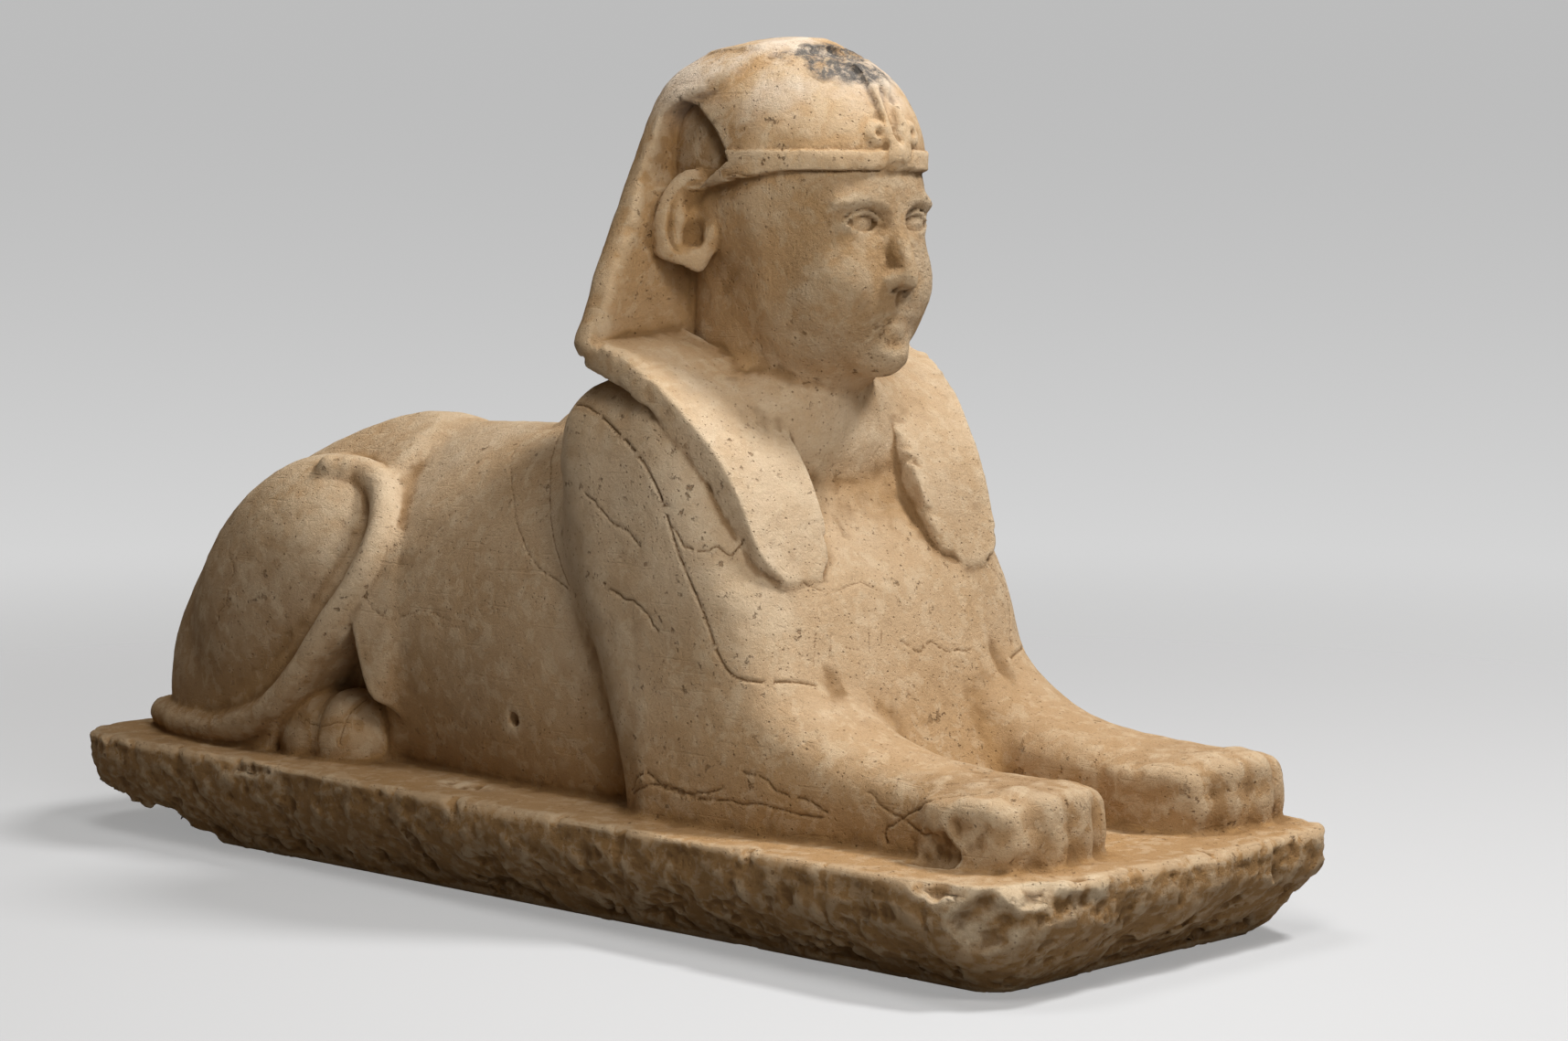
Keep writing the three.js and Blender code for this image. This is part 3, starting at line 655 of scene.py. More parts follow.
@dataclass(frozen=True)
class Forepart:
    """Chest, shoulders and forelegs."""

    paw_front: float = -586.0
    shoulder_top: float = 474.0
    leg_widest: float = 120.0
    toe_half: float = 24.5
    toe_length: float = 50.0

    CHEST = Profile(
        (60, -310, -108, 190), (137, -316, -94, 193), (208, -318, -66, 192), (242, -310, -52, 191),
        (285, -295, -34, 191), (320, -276, -24, 190), (360, -252, -18, 189), (400, -236, -14, 187),
        (435, -221, -22, 182), (455, -208, -38, 171), (468, -194, -58, 150), (476, -176, -80, 118),
    )
    LEG = Profile(
        (-600, 150, 63, 121), (-560, 158, 65, 121), (-500, 158, 63, 120), (-450, 163, 60, 118),
        (-408, 169, 61, 118), (-367, 182, 64, 120), (-335, 200, 68, 121), (-305, 220, 72, 122),
        (-270, 236, 74, 121), (-160, 240, 76, 119),
    )
    TOES = ((72, 12, 40), (103, 1, 45), (138, -2, 45), (169, 9, 39))

    def chest(self, u: Array, y: Array, z: Array) -> Array:
        """Chest, shoulders and upper arms, with a hollow breast between the lappets.

        Args:
            u: Millimetres to the left of the figure's middle line.
            y: Millimetres to the rear.
            z: Millimetres above the underside.

        Returns:
            Field values, negative inside the stone.
        """
        chest_front, rear, half = self.CHEST(z)
        hollow = 12 * np.exp(-((u / 92) ** 2)) * ease((z - 285) / 75)
        middle = (chest_front + rear) / 2
        behind = y > middle
        reach = np.where(behind, rear - middle, middle - chest_front - hollow)
        level = oblong(u, y - middle, half, reach, np.where(behind, 3.4, 4.6))
        return overlap(level * 0.9, z - self.shoulder_top, 16)

    def apron(self, u: Array, y: Array, z: Array) -> Array:
        """The chest going down between the forelegs."""
        slope = (-(y + 300) - 0.62 * (240 - z)) * 0.85
        return deepest(slope, np.abs(u) - 90, y + 150, z - 270)

    def legs(self, a: Array, y: Array, z: Array) -> Array:
        """A foreleg and its toes.

        Args:
            a: Millimetres from the figure's middle line, to either side.
            y: Millimetres to the rear.
            z: Millimetres above the underside.

        Returns:
            Field values, negative inside the stone.
        """
        top, half, middle = self.LEG(y)
        above = z - self.leg_widest
        rise = np.where(above > 0, top - self.leg_widest, 200.0)
        section = oblong(a - middle, above, half, rise, 2.7)
        leg = overlap(overlap(section, self.paw_front + 40 - y, 40), y + 170, 20)
        toes = np.full(a.shape, FAR)
        for across, back, high in self.TOES:
            front = self.paw_front + back
            plan = oblong(a - across, y - front - 48, self.toe_half, self.toe_length, 2.7)
            toe = overlap(plan * 0.9, z - 108 - high, 16)
            knuckle = ellipsoid(a - across, y - front - 33, z - 101 - high, 20, 27, 12)
            tip = ellipsoid(a - across, y - front - 19, z - 116, 19, 22, 20)
            toes = join(toes, join(join(toe, knuckle, 9), tip, 8), 12)
        return join(leg, toes, 7)


@dataclass(frozen=True)
class Head:
    """Head with a calm, regular face of plain proportions, in a plain royal headcloth."""

    crown: float = 767.0
    eyes: float = 604.0  # half way from the chin to the top of the skull under the cloth
    nose: float = 547.0  # half way from brow to chin
    mouth: float = 522.0
    eye_half_gap: float = 34.0
    ear_at: tuple = (98.0, -136.0, 604.0)
    cap_middle: tuple = (-172.0, 656.0)
    cap_half: float = 105.0
    cap_front: float = 122.0
    cap_rear: float = 142.0
    wing_foot: float = 489.0
    wing_top: float = 752.0

    MASSES = (
        Lump((0, -210, 584), (82, 84, 122)),  # egg of the head
        Lump((0, -195, 628), (93, 98, 84), 20),  # forehead and temples
        Lump((0, -150, 620), (92, 70, 74), 14),  # back of the head
        Lump((0, -222, 526), (68, 66, 56), 28),  # jaw
        Lump((36, -256, 556), (34, 32, 34), 24),  # cheek
        Lump((0, -276, 491), (24, 20, 19), 20),  # chin
    )
    WINGS = Profile(
        (488, 181, -92, 54), (501, 187, -92, 56), (524, 178, -94, 56), (560, 166, -96, 58),
        (600, 146, -98, 60), (640, 129, -104, 66), (680, 111, -115, 74), (713, 94, -130, 88),
        (737, 74, -146, 96), (755, 48, -164, 84),
    )
    WING_FRONT = Profile(
        (488, -105), (560, -109), (600, -110), (640, -107), (680, -104), (700, -106), (712, -122),
        (724, -148), (737, -159), (755, -177),
    )
    LAPPET_OUTER = (
        (182, -94, 492), (188, -160, 470), (173, -213, 421),
        (163, -242, 379), (156, -260, 335), (150, -275, 300),
    )
    LAPPET_INNER = (
        (74, -106, 498), (70, -164, 472), (67, -215, 421),
        (66, -244, 379), (68, -263, 335), (72, -276, 300),
    )
    QUEUE = ((0, -80, 560), (0, -62, 500), (0, -22, 452), (0, 40, 424), (0, 110, 412))

    def skull(self, a: Array, y: Array, z: Array) -> Array:
        """The head's masses without its features."""
        return gathered(self.MASSES, a, y, z)

    def nose_and_mouth(self, d: Array, a: Array, y: Array, z: Array) -> Array:
        """Adds a straight nose and calmly closed lips.

        Args:
            d: The head so far.
            a: Millimetres from the figure's middle line, to either side.
            y: Millimetres to the rear.
            z: Millimetres above the underside.

        Returns:
            Field values, negative inside the stone.
        """
        bridge = y + 299 - 0.41 * (z - self.nose - 35)
        d = join(d, ellipsoid(a, bridge, z - self.nose - 35, 8.5, 9, 33), 10)
        tip = ellipsoid(a, y + 300, z - self.nose - 11, 14, 12, 11)
        wing = ellipsoid(a - 13, y + 291, z - self.nose - 8, 8, 12, 8)
        d = join(d, join(tip, wing, 7), 6)
        d = cut(d, ellipsoid(a - 8, y + 298, z - self.nose, 3, 6, 3), 2)
        d = cut(d, ellipsoid(a, y + 299, z - self.nose + 11, 3.5, 6, 7), 4)
        upper = ellipsoid(a - 8, y + 279, z - self.mouth - 5 + 0.003 * a * a, 23, 14, 6)
        lower = ellipsoid(a, y + 279, z - self.mouth + 6, 23, 14, 7)
        d = join(d, join(upper, lower, 1.5), 5)
        return cut(d, ellipsoid(a, y + 300, z - self.mouth + 21, 19, 8, 5), 7)

    def eye(self, d: Array, a: Array, y: Array, z: Array) -> Array:
        """Adds a brow and an open, evenly lidded eye.

        Args:
            d: The head so far.
            a: Millimetres from the figure's middle line, to either side.
            y: Millimetres to the rear.
            z: Millimetres above the underside.

        Returns:
            Field values, negative inside the stone.
        """
        b = a - self.eye_half_gap
        brow = ellipsoid(b, y + 276, z - self.eyes - 21 + 0.007 * b * b, 27, 12, 5)
        d = join(d, brow, 11)
        d = cut(d, ellipsoid(b, y + 297, z - self.eyes - 1, 24, 15, 13), 9)
        ball = ellipsoid(b, y + 268, z - self.eyes, 21, 18, 16)
        opening = (np.abs(z - self.eyes) - 7.5 * (1 - (b / 18.5) ** 2)) * 0.8
        lids = join(d, ball - 2.6, 5)
        open_lids = cut(lids, np.maximum(opening, y + 272), 1.2)
        fold = np.abs(opening - 4) - 0.7
        open_lids = cut(open_lids, deepest(fold, self.eyes - z, y + 276), 1.5)
        return np.minimum(open_lids, ball)

    def neck(self, u: Array, y: Array, z: Array) -> Array:
        """Neck and throat, going down into the chest."""
        deep = mix(60.0, 84.0, np.clip((z - 350) / 110, 0, 1))
        return deepest(oblong(u, y + 150, 72.0, deep, 2.1), z - 590, 340 - z)

    def ear(self, a: Array, y: Array, z: Array) -> Array:
        """Ear set facing half forward, its lobe and lower rim broken away on a slant.

        Args:
            a: Millimetres from the figure's middle line, to either side.
            y: Millimetres to the rear.
            z: Millimetres above the underside.

        Returns:
            Field values, negative inside the stone.
        """
        out, rear, high = self.ear_at
        h = z - high
        outward = 0.8 * (a - out) - 0.6 * (y - rear)
        along = 0.6 * (a - out) + 0.8 * (y - rear) + 0.14 * h
        shell = ellipsoid(outward, along, h, 13, 31, 48)
        shell = cut(shell, ellipsoid(outward - 12, along + 2, h - 6, 11, 22, 35), 2)
        shell = join(shell, ellipsoid(outward - 2, along - 8 - 0.14 * h, h - 3, 6, 5, 24), 5)
        shell = cut(shell, ellipsoid(outward - 7, along + 6, h + 8, 11, 10, 15), 4)
        shell = join(shell, ellipsoid(outward - 3, along + 22, h + 8, 6, 7, 9), 4)
        shell = join(shell, ellipsoid(outward - 1, along + 4, h + 34, 9, 15, 14), 6)
        return overlap(shell, 0.8 * (566 + 0.35 * along - z), 4)

    def cap(self, u: Array, y: Array, z: Array) -> Array:
        """Egg that the cap of the headcloth is part of, longer to the rear.

        Args:
            u: Millimetres to the left of the figure's middle line.
            y: Millimetres to the rear.
            z: Millimetres above the underside.

        Returns:
            Field values, negative inside the egg.
        """
        rear, low = self.cap_middle
        at = (u, y - rear, z - low)
        front = ellipsoid(*at, self.cap_half, self.cap_front, self.crown - low)
        back = ellipsoid(*at, self.cap_half, self.cap_rear, self.crown - low)
        return np.where(y < rear, front, back)

    def dome(self, u: Array, y: Array, z: Array) -> Array:
        """Rounded cap of the headcloth, ending at the brow."""
        return np.maximum(self.cap(u, y, z), 650 - z)

    def wings(self, u: Array, y: Array, z: Array, bite: Array) -> Array:
        """The cloth behind the face, spreading from the crown down to the shoulders.

        Args:
            u: Millimetres to the left of the figure's middle line.
            y: Millimetres to the rear.
            z: Millimetres above the underside.
            bite: How far the sharp edges are worn back.

        Returns:
            Field values, negative inside the stone.
        """
        half, middle, depth = self.WINGS(z)
        back = oblong(u, y - middle, half, depth, 2.0)
        slab = overlap(back, self.WING_FRONT(z)[0] - y, 5 + 2.2 * bite)
        return deepest(slab, z - self.wing_top, self.wing_foot - z)

    def temple(self, a: Array, y: Array, z: Array) -> Array:
        """Sunk panel between the cap's curved edge and the wing, pointed at the top.

        Args:
            a: Millimetres from the figure's middle line, to either side.
            y: Millimetres to the rear.
            z: Millimetres above the underside.

        Returns:
            Field values, negative inside the stone.
        """
        panel = oblong(y + 98, z - 640, 98.0, 77.0, 1.7)
        deep = 7 + 0.09 * (-98 - y)
        foot = 636 + 0.65 * np.maximum(-157 - y, 0)
        return deepest(panel, foot - z, -self.cap(a, y, z) - deep, y - self.WING_FRONT(z)[0] + 1)

    def band(self, u: Array, y: Array, z: Array, bite: Array) -> Array:
        """Flat band round the brow, deeper at the temples, with a chipped lower edge.

        Args:
            u: Millimetres to the left of the figure's middle line.
            y: Millimetres to the rear.
            z: Millimetres above the underside.
            bite: How far the sharp edges are worn back.

        Returns:
            Field values, negative inside the stone.
        """
        d = oblong(u, y + 172, 107.0, 125.0, 2.0)
        lower = mix(634.0, 650.0, np.clip((-y - 150) / 90, 0, 1)) + 0.45 * bite
        return overlap(d, deepest(z - 667, lower - z, y + 112), 2 + 0.5 * bite)

    def cobra(self, u: Array, y: Array, z: Array, bite: Array) -> Array:
        """What is left of the cobra over the brow: a broken stump between two loops.

        Args:
            u: Millimetres to the left of the figure's middle line.
            y: Millimetres to the rear.
            z: Millimetres above the underside.
            bite: How far the sharp edges are worn back.

        Returns:
            Field values, negative inside the stone.
        """
        dome = self.dome(u, y, z)
        stump = deepest(np.abs(u) - 13, np.abs(z - 700) - 42, -dome - 8, dome - 5)
        socket = ellipsoid(u + 2, y + 290, z - 702, 7, 26, 26)
        stump = cut(stump, socket, 3)
        loop = np.hypot(np.hypot(np.abs(u) - 21, z - 682) - 7, dome) - 4.5
        return np.where(y < -172, join(stump, loop + 0.5 * bite, 4), FAR)

    def field(self, u: Array, y: Array, z: Array, bite: Array) -> Array:
        """The whole head, its edges worn back by bite.

        Args:
            u: Millimetres to the left of the figure's middle line.
            y: Millimetres to the rear.
            z: Millimetres above the underside.
            bite: How far the sharp edges are worn back.

        Returns:
            Field values, negative inside the stone.
        """
        a = np.abs(u)
        d = join(self.skull(a, y, z), self.neck(u, y, z) + 6, 30)
        front = y < -240
        d = np.where(front, self.nose_and_mouth(self.eye(d, a, y, z), a, y, z), d)
        d = join(d, join(self.dome(u, y, z), self.wings(u, y, z, bite), 30), 4)
        d = join(d, self.band(u, y, z, bite), 2)
        d = cut(d, self.temple(a, y, z), 2.5)
        d = join(d, self.cobra(u, y, z, bite), 3)
        return join(d, self.ear(a, y, z), 4)


@dataclass(frozen=True)
class Chip:
    """A broken place: an uneven hollow knocked out of an edge or a face."""

    at: tuple
    size: tuple
    soft: float = 2.0


class Carving:
    """The whole statue as one field, in the statue's millimetres."""

    FIGURE_X = 27.0  # the figure sits this far off the plinth's middle
    # How far each part reaches, so that it is worked out nowhere else
    HIND_FROM = FORE_TO = 60.0
    HIND_PAW_TOP = 200.0
    LEGS_TOP = 320.0
    LOWER_TOP, NECK_FROM, HEAD_FROM = 520.0, 360.0, 440.0
    NECK_TO = 240.0
    LAPPETS_FROM = 270.0
    PLINTH_TOP = 160.0

    def __init__(self, chips: list[Chip]) -> None:
        """Takes the broken places.

        Args:
            chips: The broken places.
        """
        self.plinth = Plinth()
        self.trunk = Trunk()
        self.forepart = Forepart()
        self.head = Head()
        self.chips = chips
        self.grain = Grain(SEED)
        self.tail = self.trunk.tail()
        self.queue = Cord(smooth_path(list(self.head.QUEUE), 12), lambda t: mix(44.0, 16.0, t))
        outer = smooth_path(list(self.head.LAPPET_OUTER), 16)
        inner = smooth_path(list(self.head.LAPPET_INNER), 16)
        self.lappet = Strap(outer, inner, 26.0)

    def bite(self, p: Array) -> Array:
        """How far the sharp edges are worn back at each point."""
        return 7 * np.clip(self.grain.rough(p, 22, 3) - 0.15, 0, 1)

    def lower(self, u: Array, y: Array, z: Array) -> Array:
        """Body, legs and chest.

        Args:
            u: Millimetres to the left of the figure's middle line.
            y: Millimetres to the rear.
            z: Millimetres above the underside.

        Returns:
            Field values, negative inside the stone.
        """
        a = np.abs(u)
        hind = y > self.HIND_FROM
        soft = mix(8.0, 26.0, np.clip((z - 330) / 60, 0, 1)) + 22 * np.clip((240 - z) / 80, 0, 1)
        haunches = only(hind, self.trunk.haunches, u, y, z)
        haunches = join(haunches, self.tail(u, y, z), 9)
        d = join(self.trunk.torso(u, y, z), haunches, soft)
        d = cut(d, self.trunk.arch(a, y, z), 7)
        d = join(d, only(hind & (z < self.HIND_PAW_TOP), self.trunk.hind_paw, a, y, z), 4)
        fore = y < self.FORE_TO
        soft = mix(10.0, 46.0, np.clip((z - 230) / 130, 0, 1))
        d = join(d, only(fore, self.forepart.chest, u, y, z), soft)
        d = join(d, only(fore, self.forepart.apron, u, y, z), 20)
        return join(d, only(fore & (z < self.LEGS_TOP), self.forepart.legs, a, y, z), 16)

    def upper(self, u: Array, y: Array, z: Array, bite: Array) -> Array:
        """Neck, queue and head.

        Args:
            u: Millimetres to the left of the figure's middle line.
            y: Millimetres to the rear.
            z: Millimetres above the underside.
            bite: How far the sharp edges are worn back.

        Returns:
            Field values, negative inside the stone.
        """
        soft = mix(12.0, 66.0, ease((z - 360) / 60)) - 44 * ease((z - 450) / 50)
        d = only(z < self.LOWER_TOP, self.lower, u, y, z)
        d = join(d, self.head.neck(u, y, z), soft)
        d = join(d, self.queue(u, y, z), 12)
        return join(d, only(z > self.HEAD_FROM, self.head.field, u, y, z, bite), 6)

    def whole(self, x: Array, y: Array, z: Array, bite: Array) -> Array:
        """The statue before its larger breaks, its sharp edges worn back by bite.

        Args:
            x: Millimetres to the left of the plinth's middle.
            y: Millimetres to the rear.
            z: Millimetres above the underside.
            bite: How far the sharp edges are worn back.

        Returns:
            Field values, negative inside the stone.
        """
        u = x - self.FIGURE_X
        high = (z > self.NECK_FROM) & (y < self.NECK_TO)
        d = only(~high, self.lower, u, y, z)
        d = np.minimum(d, only(high, self.upper, u, y, z, bite))
        lappets = only((z > self.LAPPETS_FROM) & (y < 0), self.lappet, np.abs(u), y, z, bite)
        d = join(d, lappets, 3)
        low = z < self.PLINTH_TOP
        base = only(low, self.plinth.field, x, y, z, bite)
        raised = np.maximum(d, np.where(low, self.plinth.top - 30 - z, -FAR))
        return np.where(low, join(raised, base, 7), d)

    def __call__(self, p: Array) -> Array:
        """The statue with its breaks, at points given one to a row.

        Args:
            p: Points, one to a row.

        Returns:
            Field values, negative inside the stone.
        """
        edged = (p[:, 2] < 110) | (p[:, 2] > 280) & (p[:, 1] < 20)
        bite = np.zeros(len(p))
        bite[edged] = self.bite(p[edged])
        d = self.whole(*p.T, bite)
        for chip in self.chips:
            at = np.array(chip.at)
            size = np.array(chip.size)
            near = np.all(np.abs(p - at) < size + 12, axis=1) & (np.abs(d) < 40)
            if near.any():
                q = p[near]
                hollow = ellipsoid(*(q - at).T, *size)
                hollow += 0.22 * size.min() * self.grain.rough(q, 0.9 * size.min() + 3, 2)
                d[near] = cut(d[near], hollow, chip.soft)
        return d


# ---- Damage and incised work -----------------------------------------------------------


def on_figure(u: float, y: float, z: float) -> tuple:
    """A place on the figure, u counted from its middle line."""
    return (u + Carving.FIGURE_X, y, z)


def broken_places() -> list[Chip]:
    """Every break in the stone.

    Returns:
        The broken places.
    """
    return [
        Chip((-214, -634, 92), (60, 34, 20), 4),
        Chip((-240, -570, 94), (26, 60, 16), 4),
        Chip((-150, -640, 80), (60, 14, 14), 4),
        Chip((150, -640, 30), (90, 22, 26), 5),
        Chip((-60, -640, 38), (70, 18, 24), 5),
        Chip((-215, 330, 88), (14, 60, 9), 3),
        Chip((-228, -160, 60), (8, 70, 22), 4),
        Chip((228, 120, 70), (9, 90, 20), 4),
        Chip((226, -420, 62), (10, 60, 24), 4),
        Chip((60, 634, 78), (80, 10, 16), 4),
        Chip(on_figure(-92, -128, 566), (16, 16, 11), 2),
        Chip(on_figure(-164, 26, 157), (11, 7, 8), 1),
        Chip((-205, -560, 104), (26, 40, 9), 2),
        Chip((-222, -616, 62), (34, 46, 40), 3),
        Chip(on_figure(-206, -548, 128), (15, 40, 26), 3),
        Chip((-130, -628, 102), (34, 20, 9), 2),
        Chip(on_figure(0, -300, 702), (8, 12, 30), 2),
        Chip(on_figure(-6, -246, 756), (48, 34, 8), 4),
        Chip(on_figure(6, -266, 744), (14, 12, 7), 2),
        Chip(on_figure(14, -284, 716), (11, 9, 12), 2),
        Chip(on_figure(-193, -500, 106), (10, 34, 18), 2),
        Chip(on_figure(-184, 62, 98), (14, 40, 8), 3),
    ]


@dataclass(frozen=True)
class Incision:
    """A line cut or cracked into the surface, through points on the figure."""

    points: tuple
    width: float
    depth: float
    wander: float = 0.0
    both_sides: bool = False

    def paths(self, seed: int) -> list[Array]:
        """The line as closely spaced points in statue coordinates, one path for each side.

        Args:
            seed: Seed of the line's wandering.

        Returns:
            One or two paths.
        """
        stretches = 14 * (len(self.points) - 1)
        path = smooth_path(list(self.points), stretches)
        if self.wander:
            grain = Grain(seed)
            shift = [grain.rough(path + 100 * n, 16, 3) for n in range(3)]
            path = path + self.wander * np.stack(shift, axis=-1)
        out = [path + [Carving.FIGURE_X, 0, 0]]
        if self.both_sides:
            out.append(path * [-1, 1, 1] + [Carving.FIGURE_X, 0, 0])
        return out


ARM_LINE = Incision(
    ((-171, -64, 448), (-177, -93, 444), (-182, -138, 423), (-184, -168, 401), (-184, -188, 375),
     (-185, -203, 344), (-185, -214, 322), (-186, -242, 277), (-186, -258, 244), (-185, -273, 227),
     (-172, -293, 221), (-153, -304, 219), (-128, -316, 216)),
    1.9, 2.4, both_sides=True,
)
INCISIONS = (
    ARM_LINE,
    Incision(
        ((-40, 92, 410), (-56, 79, 404), (-124, 16, 360), (-152, -22, 315), (-162, -48, 285)),
        1.5, 1.4, 1.0, True,
    ),
    Incision(
        ((-60, 128, 394), (-76, 121, 386), (-117, 73, 357), (-137, 46, 333), (-155, -3, 297),
         (-161, -47, 282)),
        1.4, 1.1, 1.5, True,
    ),
    Incision(
        ((-187, -204, 345), (-185, -219, 333), (-180, -234, 329), (-171, -244, 333),
         (-165, -251, 327), (-157, -259, 338)),
        1.7, 2.0, 2.5,
    ),
    Incision(
        ((-188, -98, 370), (-188, -116, 358), (-189, -132, 347), (-189, -157, 338),
         (-189, -167, 327)),
        1.5, 1.5, 3.0,
    ),
    Incision(
        ((-190, -123, 292), (-190, -137, 284), (-191, -158, 283), (-190, -175, 274),
         (-191, -191, 258)),
        1.6, 1.6, 3.5,
    ),
    Incision(
        ((-13, -310, 244), (0, -314, 234), (26, -313, 237), (47, -316, 230), (72, -315, 231)),
        1.6, 1.7, 3.0,
    ),
    Incision(
        ((-186, -152, 117), (-196, -174, 132), (-198, -193, 132), (-197, -214, 123),
         (-198, -242, 124), (-196, -273, 132)),
        1.6, 1.9, 2.5,
    ),
    Incision(
        ((-193, -294, 147), (-190, -320, 144), (-189, -330, 136), (-185, -358, 128),
         (-181, -380, 123)),
        1.7, 1.8, 2.5,
    ),
    Incision(
        ((-188, -156, 113), (-198, -198, 127), (-198, -242, 122), (-196, -284, 122),
         (-189, -330, 121), (-183, -376, 116)),
        1.6, 1.8, 1.5,
    ),
    Incision(
        ((-168, -530, 153), (-173, -514, 151), (-177, -506, 146), (-180, -493, 139),
         (-179, -473, 133), (-178, -457, 124), (-177, -440, 114), (-177, -446, 102)),
        1.8, 2.4, 2.5,
    ),
    Incision(
        ((-186, -420, 150), (-184, -446, 132), (-181, -475, 120), (-188, -505, 118)),
        1.6, 1.6, 2.5,
    ),
    Incision(((-176, 420, 300), (-180, 405, 262), (-182, 412, 236), (-180, 430, 214)), 1.3, 1.0, 4.0),
    Incision(((-150, 240, 250), (-162, 205, 236), (-160, 150, 246), (-158, 110, 240)), 1.2, 0.8, 4.0),
    Incision(((-110, -290, 300), (-84, -292, 290), (-50, -294, 296), (-20, -292, 288)), 1.2, 0.9, 3.0),
    Incision(((150, -300, 300), (160, -300, 270), (150, -310, 244), (140, -316, 232)), 1.5, 1.5, 3.0),
    Incision(((186, -100, 350), (189, -126, 318), (190, -140, 280), (191, -170, 250)), 1.5, 1.3, 3.5),
    Incision(((60, -180, 759), (30, -205, 762), (4, -230, 760), (-24, -250, 750)), 1.6, 1.8, 4.0),
    Incision(((-106, -190, 646), (-84, -236, 650), (-54, -270, 652), (-18, -290, 652)), 1.5, 1.6, 1.6),
)
PAW_CRACKS = (
    Incision(((-160, 290, 156), (-174, 288, 134), (-172, 282, 106)), 1.6, 1.8, 2.0),
    Incision(((-170, 318, 132), (-176, 296, 126), (-172, 262, 130), (-168, 236, 136)), 1.3, 1.3, 3.0),
    Incision(((-150, 246, 158), (-170, 250, 138), (-172, 254, 112)), 1.5, 1.5, 2.0),
)
BREAST_STROKES = (
    Incision(((-122, -309, 232), (-112, -308, 262)), 1.1, 1.0),
    Incision(((-104, -309, 236), (-96, -308, 258)), 1.1, 0.9),
    Incision(((-84, -310, 244), (-66, -311, 240)), 1.1, 0.9),
    Incision(((-56, -311, 236), (-50, -310, 258)), 1.1, 1.0),
    Incision(((-40, -311, 240), (-34, -311, 256)), 1.1, 0.9),
    Incision(((-22, -311, 238), (-8, -311, 241)), 1.1, 0.8),
)


